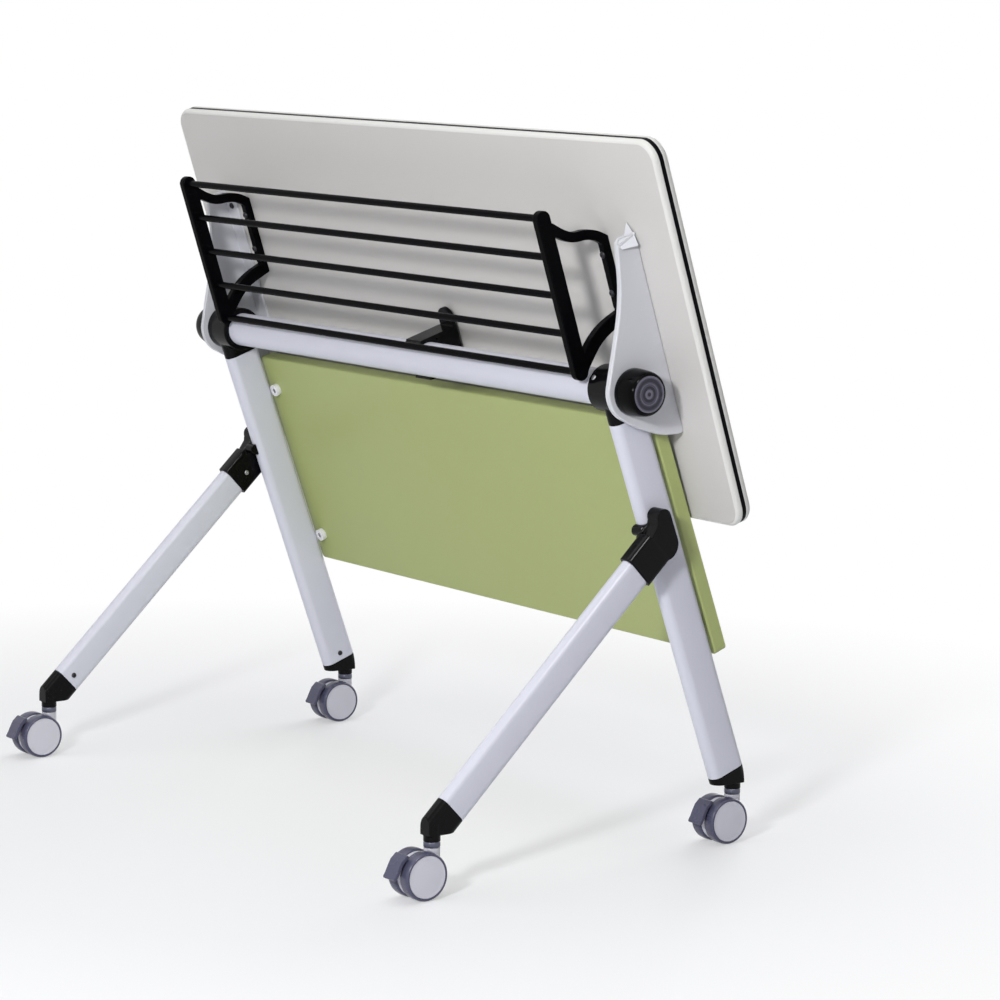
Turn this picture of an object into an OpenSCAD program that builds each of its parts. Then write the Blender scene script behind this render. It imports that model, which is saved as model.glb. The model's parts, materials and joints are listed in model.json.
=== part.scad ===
// Flip top training table, folded for nesting. Millimetres, +Z up.
// The origin is on the floor, in the middle of the folded table's outline.
// X runs along the top. The user stands on the -Y side and the next table nests from there.

/* [Table top] */
// Length of the top
top_length = 1200; // [1000:10:1800]
// Depth of the top
top_depth = 550; // [480:5:600]
// Thickness of the top
top_thickness = 25; // [22:1:32]
// Corner radius of the top
corner_radius = 30; // [24:1:80]
// Width of the soft edge band
band_width = 5; // [4:0.5:8]
// Height of the dark stripe in the band
stripe_height = 7; // [3:0.5:8]
// Depth of the dark stripe in the band
stripe_depth = 1.5; // [1:0.25:2]

/* [Folding] */
// Height of the top's surface in use
working_height = 738; // [700:1:780]
// Pivot axis to the underside of the top
pivot_to_top = 66; // [64:1:80]
// Lean of the folded top from the vertical
store_tilt = 18; // [15:0.5:20]
// Travel of the release handle, in degrees
handle_travel = 18; // [10:1:20]

/* [Legs] */
// Front caster stem to rear caster stem
base_depth = 530; // [480:2:580]
// End of the top to the middle of the leg tubes
leg_inset = 108; // [100:1:160]
// Lean of the main legs from the vertical
leg_tilt = 20; // [18:0.5:22]
// Long side of the main leg's flat-oval tube
tube_width = 57; // [54:1:60]
// Short side of the main leg's tube
tube_thickness = 25; // [23:1:28]
// Long side of the front leg's flat-oval tube
front_width = 49; // [46:1:52]
// Short side of the front leg's tube
front_thickness = 22; // [20:1:24]
// Wall of the leg tubes
tube_wall = 1.5; // [1:0.25:2.5]
// Pivot to the leg joint, along the main leg
joint_drop = 204; // [190:1:230]

/* [Beam and hubs] */
// Diameter of the round cross beam
beam_diameter = 50; // [44:1:52]
// Wall of the cross beam
beam_wall = 2; // [1.5:0.25:3]
// Diameter of the hubs
hub_diameter = 66; // [62:1:70]
// Length of a hub along the pivot axis
hub_length = 50; // [44:1:60]
// Diameter of the pivot shafts
shaft_diameter = 20; // [16:1:22]
// Diameter of the pivot knobs
knob_diameter = 66; // [60:1:70]
// Length of the pivot knobs
knob_length = 36; // [30:1:42]

/* [Modesty panel] */
// Pivot to the panel's top edge, along the main leg
panel_drop = 64; // [62:1:90]
// Height of the panel
panel_height = 352; // [250:2:380]
// Depth of the panel's folded edges
panel_depth = 20; // [14:1:20]
// Thickness of the panel's sheet
panel_sheet = 1.5; // [1:0.25:2.5]
// Leg to panel gap
panel_gap = 4.5; // [3:0.5:5]

/* [Book rack] */
// Diameter of the rack's rods
rod_diameter = 10; // [8:0.5:12]
// Number of rods
rod_count = 5; // [3:1:7]
// Width of a rack side's front bar
rack_bar_width = 22; // [18:1:24]
// Thickness of a rack side
rack_bar_thickness = 12; // [10:0.5:14]
// Top edge of the rack above the pivot, up the folded top
rack_height = 262; // [230:2:290]

/* [Casters] */
// Diameter of the twin wheels
wheel_diameter = 65; // [60:1:66]
// Width of one wheel
wheel_width = 19; // [16:0.5:21]
// Gap between the twin wheels
wheel_gap = 9; // [8:0.5:11]
// Stem to wheel axle, level
caster_trail = 22; // [20:0.5:26]
// Floor to the stem's collar
caster_height = 66; // [66:1:74]
// Diameter of the wheel axles
axle_diameter = 7; // [6:0.5:9]
// Travel of a brake pedal, in degrees
brake_travel = 14; // [10:1:16]

/* [Hidden] */

$fn = 64;
// Fits and overruns
fit = 0.05;
gap = 0.3;
over = 1;

// Colours
frame_white = "#C9CAD6";
black = "#17171A";
board_white = "#D2D2CA";
band_white = "#E2E2DE";
panel_green = "#A0B25E";
caster_dark = "#4D4A5C";
caster_light = "#B9B9BC";
steel = "#9C9CA0";

// Where the pivot, the stems and the folded top are
half_span = top_length / 2 - leg_inset;
joint_skin = 1.5;
half_front = half_span + tube_thickness / 2 + joint_skin + front_thickness / 2;
pivot_z = working_height - top_thickness - pivot_to_top;
pivot_share = 0.604;
top_ahead = top_depth * pivot_share;
top_behind = top_depth - top_ahead;

// Feet: stub under each tube end, on the caster stem's axis
collar_height = 8;
foot_z = caster_height + collar_height;
stub_diameter = 23;
lip_height = 8;
foot_back = 12;
rear_seam_rise = 26;
rear_seam_back = 14;
front_seam_rise = 38;
front_seam_back = 29;
pedal_reach = 68;
front_stem_y = -(base_depth + foot_back - pedal_reach) / 2;
rear_stem_y = front_stem_y + base_depth;
rear_seam = [rear_stem_y - rear_seam_back, foot_z + rear_seam_rise];
front_seam = [front_stem_y + front_seam_back, foot_z + front_seam_rise];
pivot_y = rear_seam[0] - (pivot_z - rear_seam[1]) * tan(leg_tilt);

// Main leg: pivot to the seam with the rear foot
main_run = (pivot_z - rear_seam[1]) / cos(leg_tilt);
// Front leg: from the point where it meets the main leg's axis down to the front foot
joint_point = [pivot_y + joint_drop * sin(leg_tilt), pivot_z - joint_drop * cos(leg_tilt)];
front_rise = atan2(joint_point[1] - front_seam[1], joint_point[0] - front_seam[0]);
front_run = norm(joint_point - front_seam);
sleeve_drop = 42;
spigot_length = 30;
joint_seam = 79;

// Hub: inner part carries the beam, outer part carries the bracket
hub_in_share = 0.54;
hub_in = hub_length * hub_in_share;
hub_out = hub_length - hub_in;
bracket_plate = 8;
bracket_x = hub_out + gap;
knob_x = bracket_x + bracket_plate;
knob_end = knob_x + knob_length;

// Latch pins, beside the pivot shaft
latch_diameter = 8;
latch_radius = 22;
latch_angle = 200;
latch_depth = 8;
latch_throw = 5;
flip_range = 90 - store_tilt;

// Screws
screw_shank = 5;
screw_head = 10;
screw_head_height = 3;
screw_bite = 14;

// Oval tube section with its long side along Y
module oval(w, t) {
    square([t, w - t], center = true);
    for (s = [-1, 1]) translate([0, s * (w - t) / 2]) circle(d = t);
}

// Rectangle with round corners, drawn from its middle
module round_rect(w, h, r) {
    square([w, h - 2 * r], center = true);
    square([w - 2 * r, h], center = true);
    for (sx = [-1, 1], sy = [-1, 1]) translate([sx * (w / 2 - r), sy * (h / 2 - r)]) circle(r = r);
}

// The direction from a to b, its left normal, and the mitred normal at point i of a path
function way(a, b) = (b - a) / norm(b - a);
function left(v) = [-v[1], v[0]];
function mitre(path, i) = let (
        last = len(path) - 1,
        v = way(path[max(i - 1, 0)], path[max(i, 1)]),
        w = way(path[min(i, last - 1)], path[min(i + 1, last)]),
        n = left(v) + left(w))
    2 * n / (n * n);
function flip(list) = [for (i = [len(list) - 1 : -1 : 0]) list[i]];
// Half a turn of points clockwise about c, between the two sides of a bar of width w
function round_end(c, v, w) = let (a = atan2(v[1], v[0]))
    [for (k = [1 : 11]) c + w / 2 * [cos(a + 90 - 15 * k), sin(a + 90 - 15 * k)]];

// A bar with round ends that follows the points of a path
module stroke(path, w) {
    last = len(path) - 1;
    near = [for (i = [0 : last]) path[i] + w / 2 * mitre(path, i)];
    far = [for (i = [0 : last]) path[i] - w / 2 * mitre(path, i)];
    polygon(concat(near, round_end(path[last], way(path[last - 1], path[last]), w), flip(far),
        round_end(path[0], way(path[1], path[0]), w)));
}

// The points of an arc of radius r about the origin, from angle a to b
function arc(r, a, b) = let (steps = ceil(abs(b - a) / 3))
    [for (i = [0 : steps]) r * [cos(a + (b - a) * i / steps), sin(a + (b - a) * i / steps)]];

// An outline drawn in (Y, Z), extruded along X from x0 to x1
module yz_plate(x0, x1) {
    translate([x0, 0, 0]) rotate([90, 0, 90]) linear_extrude(x1 - x0) children();
}

// A cylinder along X from x0 to x1
module x_rod(x0, x1, d) {
    translate([x0, 0, 0]) rotate([0, 90, 0]) cylinder(d = d, h = x1 - x0);
}

// Frames of reference: right side built, left side mirrored
module side(s) {
    if (s > 0) children();
    else mirror([1, 0, 0]) children();
}

module pivot_frame() {
    translate([0, pivot_y, pivot_z]) children();
}

// Along the main leg: Z up the leg, Y behind it, origin at the pivot
module leg_frame() {
    translate([half_span, pivot_y, pivot_z]) rotate([leg_tilt, 0, 0]) children();
}

// Along the front leg, which passes outside the main leg: Z up the leg, origin where their axes cross
module front_frame() {
    translate([half_front, joint_point[0], joint_point[1]]) rotate([front_rise - 90, 0, 0]) children();
}

// Along the folded top: Z up the top, Y through it, origin on the pivot axis
module top_frame() {
    pivot_frame() rotate([store_tilt, 0, 0]) children();
}

// Tubes of the legs
module oval_tube(z0, z1, w, t) {
    translate([0, 0, z0]) difference() {
        linear_extrude(z1 - z0) oval(w, t);
        translate([0, 0, -over]) linear_extrude(z1 - z0 + 2 * over) oval(w - 2 * tube_wall, t - 2 * tube_wall);
    }
}

// Solid plug that fills a tube's end
module spigot(z0, z1, w, t) {
    translate([0, 0, z0]) linear_extrude(z1 - z0)
        oval(w - 2 * (tube_wall + gap), t - 2 * (tube_wall + gap));
}

module screw_bore() {
    rotate([0, -90, 0]) cylinder(d = screw_shank + 2 * fit, h = 2 * (screw_bite + gap), center = true);
}

module main_leg() {
    color(frame_white) leg_frame() difference() {
        oval_tube(-main_run, -sleeve_drop, tube_width, tube_thickness);
        translate([-tube_thickness / 2, 0, foot_screw_z - main_run]) screw_bore();
    }
}

module front_leg() {
    color(frame_white) front_frame() difference() {
        oval_tube(-front_run, -joint_seam, front_width, front_thickness);
        translate([-front_thickness / 2, 0, foot_screw_z - front_run]) screw_bore();
    }
}

// Leg screws: above each foot and in each leg joint on the inner faces, and one in each hub
foot_screw_z = 12;
small_head = 8;
small_head_height = 2;
hub_screw_angle = 150;
hub_screw_sink = 1;

module leg_screw() {
    cylinder(d = small_head, h = small_head_height);
    translate([0, 0, -screw_bite]) cylinder(d = screw_shank, h = screw_bite + over);
}

module on_inner_face(t) {
    translate([-t / 2, 0, 0]) rotate([0, -90, 0]) children();
}

module on_hub() {
    translate([half_span - hub_in + small_head, pivot_y, pivot_z]) rotate([hub_screw_angle - 90, 0, 0])
        translate([0, 0, hub_diameter / 2 - hub_screw_sink]) children();
}

module leg_screws() {
    color(steel) for (s = [-1, 1]) side(s) {
        leg_frame() translate([0, 0, foot_screw_z - main_run]) on_inner_face(tube_thickness) leg_screw();
        front_frame() translate([0, 0, foot_screw_z - front_run]) on_inner_face(front_thickness) leg_screw();
        front_frame() translate([-joint_skin, joint_screw_y, joint_screw_z])
            on_inner_face(front_thickness) leg_screw();
        on_hub() leg_screw();
    }
}

// Feet. The oval runs on past the seam, is cut level at the lip, and turns into a round stub.
foot_dome = 34;
stem_diameter = 10;
stem_bore_depth = 22;

module foot_body(x, stem_y) {
    intersection() {
        children();
        translate([x - tube_width, stem_y - tube_width, foot_z + lip_height])
            cube([2 * tube_width, 2 * tube_width, 2 * tube_width]);
    }
}

module foot_stub(x, stem_y) {
    translate([x, stem_y, foot_z]) cylinder(d = stub_diameter, h = foot_dome - stub_diameter / 2);
    translate([x, stem_y, foot_z + foot_dome - stub_diameter / 2]) sphere(d = stub_diameter);
}

module stem_bore(x, stem_y) {
    translate([x, stem_y, foot_z - over])
        cylinder(d = stem_diameter + 2 * fit, h = stem_bore_depth + over);
}

module front_foot() {
    difference() {
        union() {
            intersection() {
                foot_body(half_front, front_stem_y) front_frame() translate([0, 0, -front_run - foot_dome * 2])
                    linear_extrude(foot_dome * 2) oval(front_width, front_thickness);
                translate([half_front - tube_width, front_stem_y - stub_diameter / 2, foot_z])
                    cube([2 * tube_width, 2 * tube_width, 2 * tube_width]);
            }
            foot_stub(half_front, front_stem_y);
            front_frame() spigot(-front_run - over, -front_run + spigot_length, front_width, front_thickness);
        }
        stem_bore(half_front, front_stem_y);
        front_frame() translate([-front_thickness / 2, 0, foot_screw_z - front_run]) screw_bore();
    }
}

module rear_foot() {
    difference() {
        union() {
            intersection() {
                foot_body(half_span, rear_stem_y) leg_frame() translate([0, 0, -main_run - foot_dome])
                    linear_extrude(foot_dome) oval(tube_width, tube_thickness);
                translate([half_span - tube_width, rear_stem_y + foot_back - 3 * tube_width, foot_z])
                    cube([2 * tube_width, 3 * tube_width, 2 * tube_width]);
            }
            translate([half_span, rear_stem_y, foot_z]) cylinder(d = stub_diameter, h = lip_height + over);
            leg_frame() spigot(-main_run - over, -main_run + spigot_length, tube_width, tube_thickness);
        }
        stem_bore(half_span, rear_stem_y);
        leg_frame() translate([-tube_thickness / 2, 0, foot_screw_z - main_run]) screw_bore();
    }
}

module front_feet() {
    color(black) for (s = [-1, 1]) side(s) front_foot();
}

module rear_feet() {
    color(black) for (s = [-1, 1]) side(s) rear_foot();
}

// Leg joint: a sleeve for the front leg that lies on the main leg's outer face, a lobe that rises
// above it, a round heel below it, and a hook over the main leg's front edge
joint_rim = 2.5;
joint_corner = 7;
sleeve_top = -33;
lobe_radius = 11.5;
lobe_place = [-9, 23];
heel_radius = 22;
heel_place = [-19, -14];
ear_step = 0.5;
hook_radius = 8;
hook_place = [-31, 8.5];
hook_reach = 6;
joint_screw_z = -55;
joint_screw_y = 4;

// The frame of the main leg, with its origin where the front leg's axis crosses it
module meet_frame() {
    leg_frame() translate([0, 0, -joint_drop]) children();
}

// A point s down the front leg and p across it, seen in the frame above
meet_turn = front_rise - leg_tilt;
function meet(s, p) = [-s * cos(meet_turn) - p * sin(meet_turn), -s * sin(meet_turn) + p * cos(meet_turn)];

module joint_ear() {
    half = front_width / 2;
    meet_frame() yz_plate(tube_thickness / 2, tube_thickness / 2 + front_thickness + 2 * joint_skin - ear_step) {
        translate(lobe_place) circle(r = lobe_radius);
        translate(heel_place) circle(r = heel_radius);
        polygon([heel_place + [heel_radius, 0], lobe_place + [lobe_radius, 0], lobe_place + [-0.7, 0.7] * lobe_radius,
            meet(0.6 * half, half), meet(1.5 * half, 0.8 * half), meet(1.5 * half, -0.8 * half), heel_place]);
    }
}

module joint_sleeve() {
    front_frame() translate([0, 0, -joint_seam]) linear_extrude(joint_seam + sleeve_top)
        round_rect(front_thickness + 2 * joint_skin, front_width + 2 * joint_rim, joint_corner);
}

module joint_hook() {
    meet_frame() yz_plate(-hook_reach, tube_thickness / 2 + over) {
        translate(hook_place) circle(r = hook_radius);
        polygon([hook_place + [0, hook_radius], hook_place + [2 * hook_radius, hook_radius],
            hook_place + [2 * hook_radius, -1.2 * hook_radius], hook_place + [0, -1.2 * hook_radius], hook_place]);
    }
}

module leg_joint() {
    color(black) difference() {
        union() {
            joint_sleeve();
            joint_ear();
            difference() {
                joint_hook();
                leg_frame() translate([0, 0, -main_run]) linear_extrude(main_run)
                    oval(tube_width + 2 * fit, tube_thickness + 2 * fit);
            }
            front_frame() spigot(-joint_seam - spigot_length, -joint_seam + over, front_width, front_thickness);
        }
        front_frame() translate([-front_thickness / 2 - joint_skin, joint_screw_y, joint_screw_z])
            rotate([0, 90, 0]) cylinder(d = screw_shank + 2 * fit, h = screw_bite + over);
    }
}

// Hub: round housing on the pivot axis with a sleeve over the top of the main leg
groove_clearance = 0.3;

// A slot in (Y, Z) of width w along an arc of radius r, from angle a to b, with round ends
module arc_slot(r, w, a, b) {
    polygon(concat(arc(r - w / 2, a, b), round_end(r * [cos(b), sin(b)], [-sin(b), cos(b)], w),
        flip(arc(r + w / 2, a, b)), round_end(r * [cos(a), sin(a)], [sin(a), -cos(a)], w)));
}

module hub() {
    color(black) difference() {
        union() {
            translate([half_span, pivot_y, pivot_z]) x_rod(-hub_in, hub_out, hub_diameter);
            leg_frame() translate([0, 0, -sleeve_drop]) linear_extrude(sleeve_drop) oval(tube_width, tube_thickness);
            leg_frame() spigot(-sleeve_drop - spigot_length, -sleeve_drop + over, tube_width, tube_thickness);
        }
        translate([half_span, pivot_y, pivot_z]) {
            x_rod(-hub_in - over, hub_out + over, shaft_diameter + 2 * fit);
            yz_plate(hub_out - latch_depth - gap, hub_out + over)
                arc_slot(latch_radius, latch_diameter + 2 * groove_clearance,
                    store_tilt + latch_angle, store_tilt + latch_angle + flip_range);
        }
        on_hub() {
            cylinder(d = small_head + 2 * fit, h = small_head);
            translate([0, 0, -screw_bite - gap]) cylinder(d = screw_shank + 2 * fit, h = screw_bite + over);
        }
    }
}

// Modesty panel: a folded tray that stands behind the main legs
panel_corner = 8;
panel_lap = 7;
panel_front = tube_width / 2 + panel_gap;
panel_width = 2 * (half_span + panel_lap);
panel_fold = 4;
spacer_diameter = 19;
spacer_length = 8;
spacer_inset = 18.5;
spacer_top = 53;
spacer_bottom = 46;
panel_screw_length = 7;

module panel_frame() {
    translate([0, pivot_y, pivot_z]) rotate([leg_tilt, 0, 0])
        translate([0, panel_front, -panel_drop - panel_height / 2]) rotate([-90, 0, 0]) children();
}

// Each spacer's place, measured from the panel's middle: X outward, Y down the panel
spacer_places = [for (sx = [-1, 1], sy = [spacer_top - panel_height / 2, panel_height / 2 - spacer_bottom])
    [sx * (half_span - spacer_inset), sy]];

module modesty_panel() {
    color(panel_green) difference() {
        panel_frame() difference() {
            union() {
                translate([0, 0, panel_fold]) linear_extrude(panel_depth - panel_fold)
                    round_rect(panel_width, panel_height, panel_corner);
                linear_extrude(panel_fold)
                    round_rect(panel_width - 2 * panel_sheet, panel_height - 2 * panel_sheet, panel_corner - panel_sheet);
            }
            translate([0, 0, panel_sheet]) linear_extrude(panel_depth)
                round_rect(panel_width - 4 * panel_sheet, panel_height - 4 * panel_sheet, panel_corner - 2 * panel_sheet);
            for (p = spacer_places) translate([p[0], p[1], -over])
                cylinder(d = screw_shank + 2 * fit, h = panel_sheet + 2 * over);
        }
    }
}

module panel_spacers() {
    color(frame_white) difference() {
        panel_frame() for (p = spacer_places) translate([p[0], p[1], -spacer_length]) difference() {
            cylinder(d = spacer_diameter, h = spacer_length);
            translate([0, 0, -over]) cylinder(d = screw_shank + 2 * fit, h = spacer_length + 2 * over);
            translate([0, 0, -over]) cylinder(d = small_head + 2 * fit, h = small_head_height + 2 * over);
        }
        for (s = [-1, 1]) side(s) leg_frame() translate([0, 0, -main_run]) linear_extrude(main_run)
            oval(tube_width + 2 * fit, tube_thickness + 2 * fit);
    }
}

module panel_screws() {
    color(steel) panel_frame() for (p = spacer_places) translate([p[0], p[1], -spacer_length + over]) {
        cylinder(d = small_head, h = small_head_height);
        cylinder(d = screw_shank, h = spacer_length + panel_screw_length);
    }
}

// Table top, band and stripe
module band_profile() {
    r = band_width;
    difference() {
        union() {
            translate([-r, -top_thickness / 2 + r]) square([r, top_thickness - 2 * r]);
            for (s = [-1, 1]) intersection() {
                translate([-r, s * (top_thickness / 2 - r)]) circle(r = r);
                translate([-r, -top_thickness / 2]) square([r, top_thickness]);
            }
        }
        translate([-stripe_depth, -stripe_height / 2]) square([stripe_depth + over, stripe_height]);
    }
}

module stripe_profile() {
    translate([-stripe_depth, -stripe_height / 2]) square([stripe_depth, stripe_height]);
}

// Sweeps a profile round the top's edge; the profile's X is outward from the edge
module edge_sweep() {
    straight_x = top_length - 2 * corner_radius;
    straight_y = top_depth - 2 * corner_radius;
    for (a = [0, 180]) rotate(a) {
        translate([top_length / 2, straight_y / 2, 0]) rotate([90, 0, 0]) linear_extrude(straight_y) children();
        translate([-straight_x / 2, top_depth / 2, 0]) rotate([90, 0, 90]) linear_extrude(straight_x) children();
    }
    for (sx = [0, 1], sy = [0, 1])
        translate([(2 * sx - 1) * straight_x / 2, (2 * sy - 1) * straight_y / 2, 0])
            rotate(sx > 0 ? (sy > 0 ? 0 : -90) : (sy > 0 ? 90 : 180))
                rotate_extrude(angle = 90) translate([corner_radius, 0]) children();
}

// Lays a top drawn flat (X along it, Y towards its upper edge, Z through it) in the folded place
module lay_top() {
    top_frame() translate([0, pivot_to_top + top_thickness / 2, (top_ahead - top_behind) / 2])
        rotate([90, 0, 0]) children();
}

module top_screw_bores() {
    for (s = [-1, 1]) side(s) top_frame() {
        for (p = bracket_screw_places) top_screw_bore(p);
        for (p = rack_screw_places) top_screw_bore(p);
    }
}

module top_screw_bore(p) {
    translate([p[0], pivot_to_top - over, p[1]]) rotate([-90, 0, 0])
        cylinder(d = screw_shank + 2 * fit, h = screw_bite + over);
}

module top_board() {
    color(board_white) difference() {
        lay_top() translate([0, 0, -top_thickness / 2]) linear_extrude(top_thickness)
            round_rect(top_length - 2 * band_width, top_depth - 2 * band_width, corner_radius - band_width);
        top_screw_bores();
    }
}

module edge_band() {
    color(band_white) lay_top() edge_sweep() band_profile();
}

module edge_stripe() {
    color(black) lay_top() edge_sweep() stripe_profile();
}

// Bracket: a wing plate with a raised rim, and a flange screwed to the top
flange_thickness = 4;
flange_reach = 28;
wing_web = 4;
wing_rim = 5;
bracket_top = 204;
bracket_bottom = 84;
bracket_nose = 41;
bracket_tip_width = 34;
bracket_screw_places = [for (z = [bracket_top - 24, 70, -44])
    [half_span + bracket_x - flange_reach / 2, z]];

// The wing's outline in (Y, Z) of the top's frame, drawn in by m
module wing_outline(m) {
    back = pivot_to_top - m;
    tip = back + m - bracket_tip_width + m;
    high = bracket_top - m;
    circle(r = bracket_nose - m);
    polygon([[back, m - bracket_bottom], [back, high - 0.3 * bracket_tip_width],
        [back - 0.3 * bracket_tip_width, high], [tip + 0.35 * bracket_tip_width, high],
        [tip + 0.05 * bracket_tip_width, high - 0.25 * bracket_tip_width], [tip, high - 0.7 * bracket_tip_width],
        [0.55 * (pivot_to_top - bracket_tip_width) + m, 0.6 * bracket_top], [m - 0.15 * bracket_nose, 1.75 * bracket_nose],
        [0.85 * m - 0.79 * bracket_nose, 0.5 * bracket_nose], [0.85 * m - 0.79 * bracket_nose, -0.47 * bracket_nose],
        [0.4 * m - 0.12 * bracket_nose, 0.8 * m - 0.62 * bracket_bottom],
        [0.75 * bracket_nose, m - 0.9 * bracket_bottom], [back - 0.25 * bracket_tip_width, m - bracket_bottom]]);
}

module bracket() {
    color(frame_white) difference() {
        translate([half_span, 0, 0]) top_frame() {
            difference() {
                yz_plate(bracket_x, bracket_x + bracket_plate) wing_outline(0);
                difference() {
                    yz_plate(bracket_x + wing_web, bracket_x + bracket_plate + over) wing_outline(wing_rim);
                    x_rod(bracket_x, bracket_x + bracket_plate + 2 * over, knob_diameter + wing_rim);
                }
            }
            translate([bracket_x - flange_reach, pivot_to_top - flange_thickness, 3 * wing_rim - bracket_bottom])
                cube([flange_reach + wing_web, flange_thickness, bracket_top + bracket_bottom - 6 * wing_rim]);
        }
        translate([half_span, 0, 0]) top_frame() {
            x_rod(0, knob_end, shaft_diameter + 2 * fit);
            latch_place() x_rod(0, knob_end, latch_diameter + 2 * fit);
        }
        top_frame() for (p = bracket_screw_places)
            translate([p[0], pivot_to_top - flange_thickness - over, p[1]]) rotate([-90, 0, 0])
                cylinder(d = screw_shank + 2 * fit, h = flange_thickness + 2 * over);
    }
}

module latch_place() {
    translate([0, latch_radius * cos(latch_angle), latch_radius * sin(latch_angle)]) children();
}

// Screws that hold the brackets and the rack sides to the top
module top_screws() {
    color(steel) for (s = [-1, 1]) side(s) top_frame() {
        for (p = bracket_screw_places) top_screw(p, flange_thickness);
        for (p = rack_screw_places) top_screw(p, rack_back);
    }
}

module top_screw(p, plate) {
    translate([p[0], pivot_to_top - plate - screw_head_height, p[1]]) rotate([-90, 0, 0]) {
        cylinder(d = screw_head, h = screw_head_height);
        cylinder(d = screw_shank, h = screw_head_height + plate + screw_bite - over);
    }
}

// Pivot shafts: fixed in the knobs and brackets, running in the hubs and the beam's plugs
shaft_in = 26;
shaft_out = 14;

module pivot_shafts() {
    color(steel) for (s = [-1, 1]) side(s) pivot_frame() translate([half_span, 0, 0])
        x_rod(-hub_in - shaft_in, knob_x + shaft_out, shaft_diameter);
}

// Knobs: end caps with a grey face
face_diameter = 47;
face_depth = 2;
knob_taper = 3;

module knob() {
    top_frame() translate([half_span, 0, 0]) difference() {
        union() {
            x_rod(knob_x, knob_end - knob_taper, knob_diameter);
            translate([knob_end - knob_taper, 0, 0]) rotate([0, 90, 0])
                cylinder(d1 = knob_diameter, d2 = knob_diameter - 2 * knob_taper, h = knob_taper);
        }
        x_rod(knob_x - over, knob_x + shaft_out, shaft_diameter + 2 * fit);
        latch_place() x_rod(knob_x - over, knob_x + latch_stay + latch_throw + gap, latch_diameter + 2 * fit);
        x_rod(knob_end - face_depth, knob_end + over, face_diameter + 2 * fit);
    }
}

module knobs() {
    color(black) for (s = [-1, 1]) side(s) knob();
}

ring_step = 6;
ring_height = 0.5;

module knob_faces() {
    color(caster_dark) for (s = [-1, 1]) side(s) top_frame() translate([half_span, 0, 0]) {
        x_rod(knob_end - face_depth, knob_end - ring_height, face_diameter);
        for (r = [face_diameter / 2, face_diameter / 2 - ring_step, ring_step])
            translate([knob_end - ring_height - fit, 0, 0]) rotate([0, 90, 0]) difference() {
                cylinder(r = r, h = ring_height + fit);
                translate([0, 0, -over]) cylinder(r = r - ring_step / 3, h = ring_height + 2 * over);
            }
    }
}

// Latch pins: held in bracket and knob, with the tip in the hub's arc groove
latch_stay = 12;

module latch_pin() {
    color(steel) top_frame() translate([half_span, 0, 0]) latch_place()
        x_rod(hub_out - latch_depth, knob_x + latch_stay, latch_diameter);
}

// Book rack
rack_inset = 32;
rack_x = half_span - rack_inset - rack_bar_thickness;
rack_bar_y = -29;
rack_foot_z = 21;
rack_back = 12;
rack_top_arm = 14;
rack_low_arm = 19;
rack_back_top = 190;
rack_back_low = 95;
rack_screw_places = [for (z = [rack_back_top - 20, rack_back_low + 20]) [rack_x + rack_bar_thickness / 2, z]];
// Bends of the rack side's two arms: reach from the front bar to the back bar, and drop, as shares of the reach
top_arm_shares = [[0.09, 0.17], [0.22, 0.3], [0.36, 0.4], [0.48, 0.44], [0.63, 0.455], [0.81, 0.53]];
low_arm_shares = [[0, 0.14], [0.35, 0.21], [0.57, 0.32], [0.716, 0.44], [0.86, 0.57]];
bend_shares = [0.25, 0.75];
// A path with the corners of its bends cut away
function eased(path) = let (last = len(path) - 1) concat([path[0]],
    [for (i = [0 : last - 1], t = bend_shares) path[i] + t * (path[i + 1] - path[i])], [path[last]]);

rod_pitch = (rack_height - rack_foot_z - rack_bar_width) / (rod_count - 1);

module rack_side() {
    back = pivot_to_top - (rack_back - over) / 2;
    reach = pivot_to_top - rack_bar_y;
    foot = [rack_bar_y, rack_foot_z + rack_bar_width / 2];
    head = [rack_bar_y, rack_height - rack_bar_width / 2];
    color(black) top_frame() difference() {
        yz_plate(rack_x, rack_x + rack_bar_thickness) {
            stroke([foot, head], rack_bar_width);
            stroke(eased(eased(concat([for (p = top_arm_shares) head + reach * [p[0], -p[1]]],
                [[back, rack_back_top]]))), rack_top_arm);
            stroke([[back, rack_back_top], [back, rack_back_low]], rack_back + over);
            stroke(eased(eased(concat([for (p = low_arm_shares) [back, rack_back_low] - reach * p], [foot]))),
                rack_low_arm);
        }
        translate([rack_x - over, pivot_to_top, 0]) cube([rack_bar_thickness + 2 * over, tube_width, rack_height]);
        for (p = rack_screw_places) translate([p[0], pivot_to_top - rack_back - over, p[1]]) rotate([-90, 0, 0])
            cylinder(d = screw_shank + 2 * fit, h = rack_back + 2 * over);
    }
}

module rack_rods() {
    color(black) top_frame() for (i = [0 : rod_count - 1])
        translate([0, rack_bar_y, rack_foot_z + rack_bar_width / 2 + i * rod_pitch])
            x_rod(-rack_x, rack_x, rod_diameter);
}

// Cross beam, its end plugs and the release handle: they turn together on the pivot shafts
beam_end = half_span - hub_in - gap;
plug_length = 24;
handle_width = 38;
handle_aside = 30;
handle_ring = 5;
handle_arm = 6;
handle_gap = 6;
paddle_thickness = 7;
paddle_top = 58;
paddle_low = 14;
paddle_width = 32;

module cross_beam() {
    color(frame_white) pivot_frame() difference() {
        x_rod(-beam_end, beam_end, beam_diameter);
        x_rod(-beam_end - over, beam_end + over, beam_diameter - 2 * beam_wall);
    }
}

module beam_plugs() {
    color(black) for (s = [-1, 1]) side(s) pivot_frame() difference() {
        x_rod(beam_end - plug_length, beam_end, beam_diameter - 2 * beam_wall - 2 * fit);
        x_rod(beam_end - plug_length - over, beam_end + over, shaft_diameter + 2 * fit);
    }
}

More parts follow.
